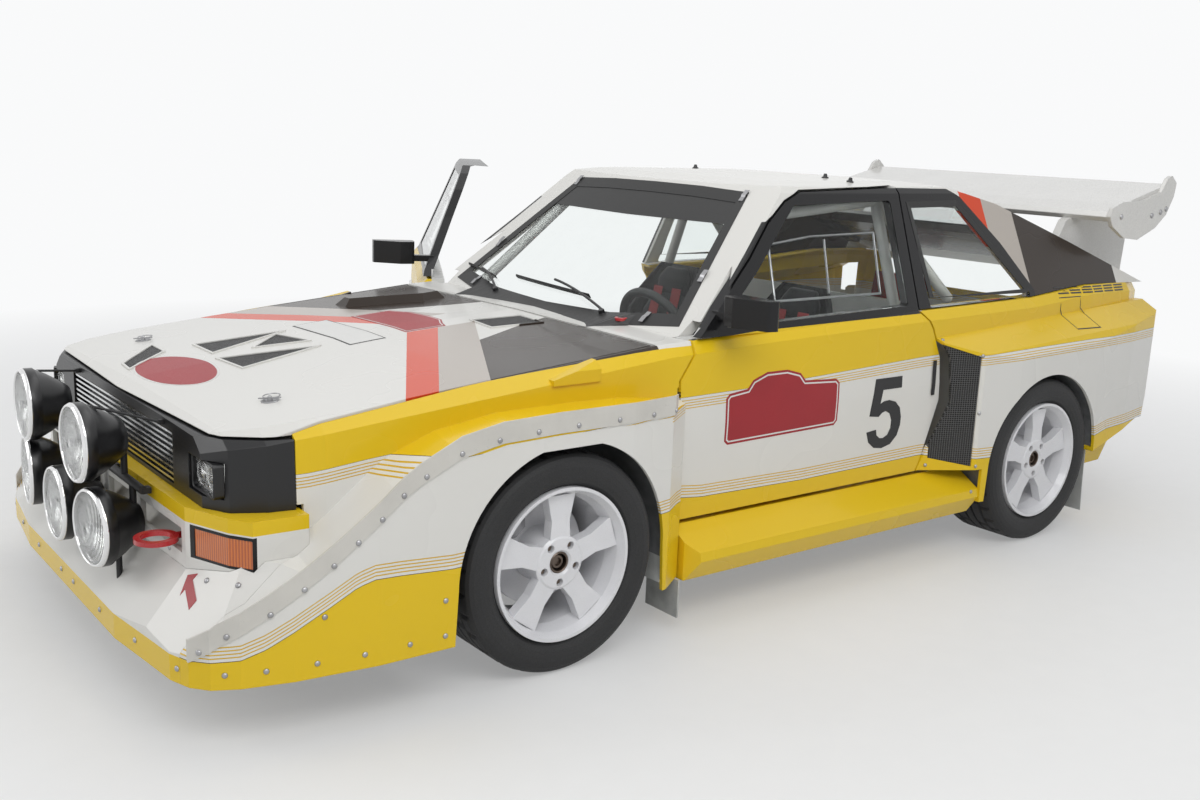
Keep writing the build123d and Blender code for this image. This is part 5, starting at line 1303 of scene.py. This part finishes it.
def addWheelHub():
    lean = radians(fittings["wheelLean"])
    hub, axis = carPoint(*fittings["wheelHub"]), (-cos(lean), 0, sin(lean))
    addPiece("steeringPad", lathe(fittings["wheelPad"], hub, axis, 40), "seatCloth", "steering_wheel")
    addPiece("steeringRing", lathe(fittings["wheelRing"], hub, axis, 40), "bareSteel", "steering_wheel")


def addSideFrames():  # the frame of the sliding pane in each door's window
    (frameRadius, barRadius), inset = fittings["frameRadius"], fittings["frameInset"]
    points, bar = ([carPoint(x, y - inset, z) for x, y, z in fittings[key]] for key in ("sideFrame", "sideBar"))
    loop = [a.lerp(b, k / 6) for a, b in zip(points, points[1:] + points[:1]) for k in range(6)]
    wires = gather([runTube(loop + [loop[0]], frameRadius, 8), runTube(bar, barRadius, 8)])
    addOnDoors("sidePaneFrame", wires, "bareSteel")


addScreenMarks()
addMirrorGlass()
addSideFittings()
addRearPlate()
addRoofFittings()
addWheelHub()
addSideFrames()
print("stage: cabin and side fittings")

# Camera, solved from the photograph's wheels and wing, in the car's own frame
photoView = {
    "place": (3038.88602, 3508.4335, 1485.37943), "yaw": -2.23221499, "pitch": -0.21472013, "roll": 0.03920381,
    "focalPixels": 1250.333, "widthPixels": 1200.0, "sensor": 36.0,
}


def addCamera():
    view = photoView
    yaw, pitch, roll = view["yaw"], view["pitch"], view["roll"]
    forward = Vector((cos(pitch) * cos(yaw), cos(pitch) * sin(yaw), sin(pitch)))
    right = forward.cross(Vector((0, 0, 1))).normalized()
    up = right.cross(forward)
    tiltedRight, tiltedUp = cos(roll) * right + sin(roll) * up, cos(roll) * up - sin(roll) * right
    data = bpy.data.cameras.new("photoCamera")
    data.sensor_width = view["sensor"]
    data.lens = view["focalPixels"] / view["widthPixels"] * view["sensor"]
    camera = addObject("photoCamera", data)
    turn = Matrix((tiltedRight, tiltedUp, -forward)).transposed().to_4x4()
    camera.matrix_world = Matrix.Translation(carPoint(*view["place"])) @ turn
    bpy.context.scene.camera = camera


# Studio: pale floor, a white backdrop for the camera, in gloss and through glass, three soft lamps
studio = {
    "floorSize": 40.0, "floorColour": (0.80, 0.80, 0.79), "whiteFrom": 2.0, "whiteTo": 6.0, "whiteShare": (0.3, 1.0),
    "worldColour": (0.93, 0.95, 0.98), "worldStrength": 0.36, "backdrop": (0.95, 0.955, 0.96),
    "lamps": [("keyLamp", (2.2, 4.8, 4.6), (0.3, 0.4, 0.5), (5.0, 2.6), 150),
              ("fillLamp", (5.2, -2.0, 2.8), (0.8, 0.2, 0.5), (3.0, 2.4), 60),
              ("topLamp", (-0.6, 0.4, 5.2), (-0.2, 0.2, 0.0), (6.0, 2.6), 70)],
}


def showWhite(output, plain, white, away=None):  # the plain white wins only in the camera, in gloss and through glass
    tree = output.id_data
    camera, gloss, glass = (addNode(tree, "LightPath", (), f"Is {kind} Ray")
                            for kind in ("Camera", "Glossy", "Transmission"))
    seen = camera.math("MAXIMUM", camera, gloss.math("MAXIMUM", gloss, glass))
    putInputs(output, {"Surface": addNode(tree, "MixShader", (seen * away if away else seen, plain, white))})


def addFloor():
    size = studio["floorSize"]
    mesh = meshFrom("studioFloor", ([(-size, -size, 0), (size, -size, 0), (size, size, 0), (-size, size, 0)],
                                    [(0, 1, 2, 3)]))
    plainFinish("paleFloor", studio["floorColour"], 0.55, grain=20.0, mottle=0.02)
    mesh.materials.append(bpy.data.materials["paleFloor"])
    tree = bpy.data.materials["paleFloor"].node_tree
    glow = addNode(tree, "Emission", {"Color": studio["backdrop"]})
    length = addNode(tree, "VectorMath", (objectPlace(tree),), "Value", operation="LENGTH")
    away = spread(length, studio["whiteFrom"], studio["whiteTo"], *studio["whiteShare"])
    showWhite(tree.nodes["Material Output"], Field(tree.nodes["Principled BSDF"].outputs[0]), glow, away)
    addObject("studioFloor", mesh)


def addWorld():
    world = bpy.data.worlds.new("studioWorld")
    bpy.context.scene.world = world
    world.use_nodes = True
    tree = world.node_tree
    putInputs(tree.nodes["Background"], {"Color": studio["worldColour"], "Strength": studio["worldStrength"]})
    white = addNode(tree, "Background", {"Color": studio["backdrop"]})
    showWhite(tree.nodes["World Output"], Field(tree.nodes["Background"].outputs[0]), white)


def addLamps():
    for name, place, target, size, energy in studio["lamps"]:
        data = bpy.data.lights.new(name, "AREA")
        data.shape = "RECTANGLE"
        data.size, data.size_y = size
        data.energy = energy
        lamp = addObject(name, data)
        lamp.location = place
        lamp.rotation_euler = (Vector(target) - Vector(place)).to_track_quat("-Z", "Y").to_euler()


addCamera()
addFloor()
addWorld()
addLamps()
bpy.context.scene.view_settings.view_transform = "Standard"
print("stage: camera and light")
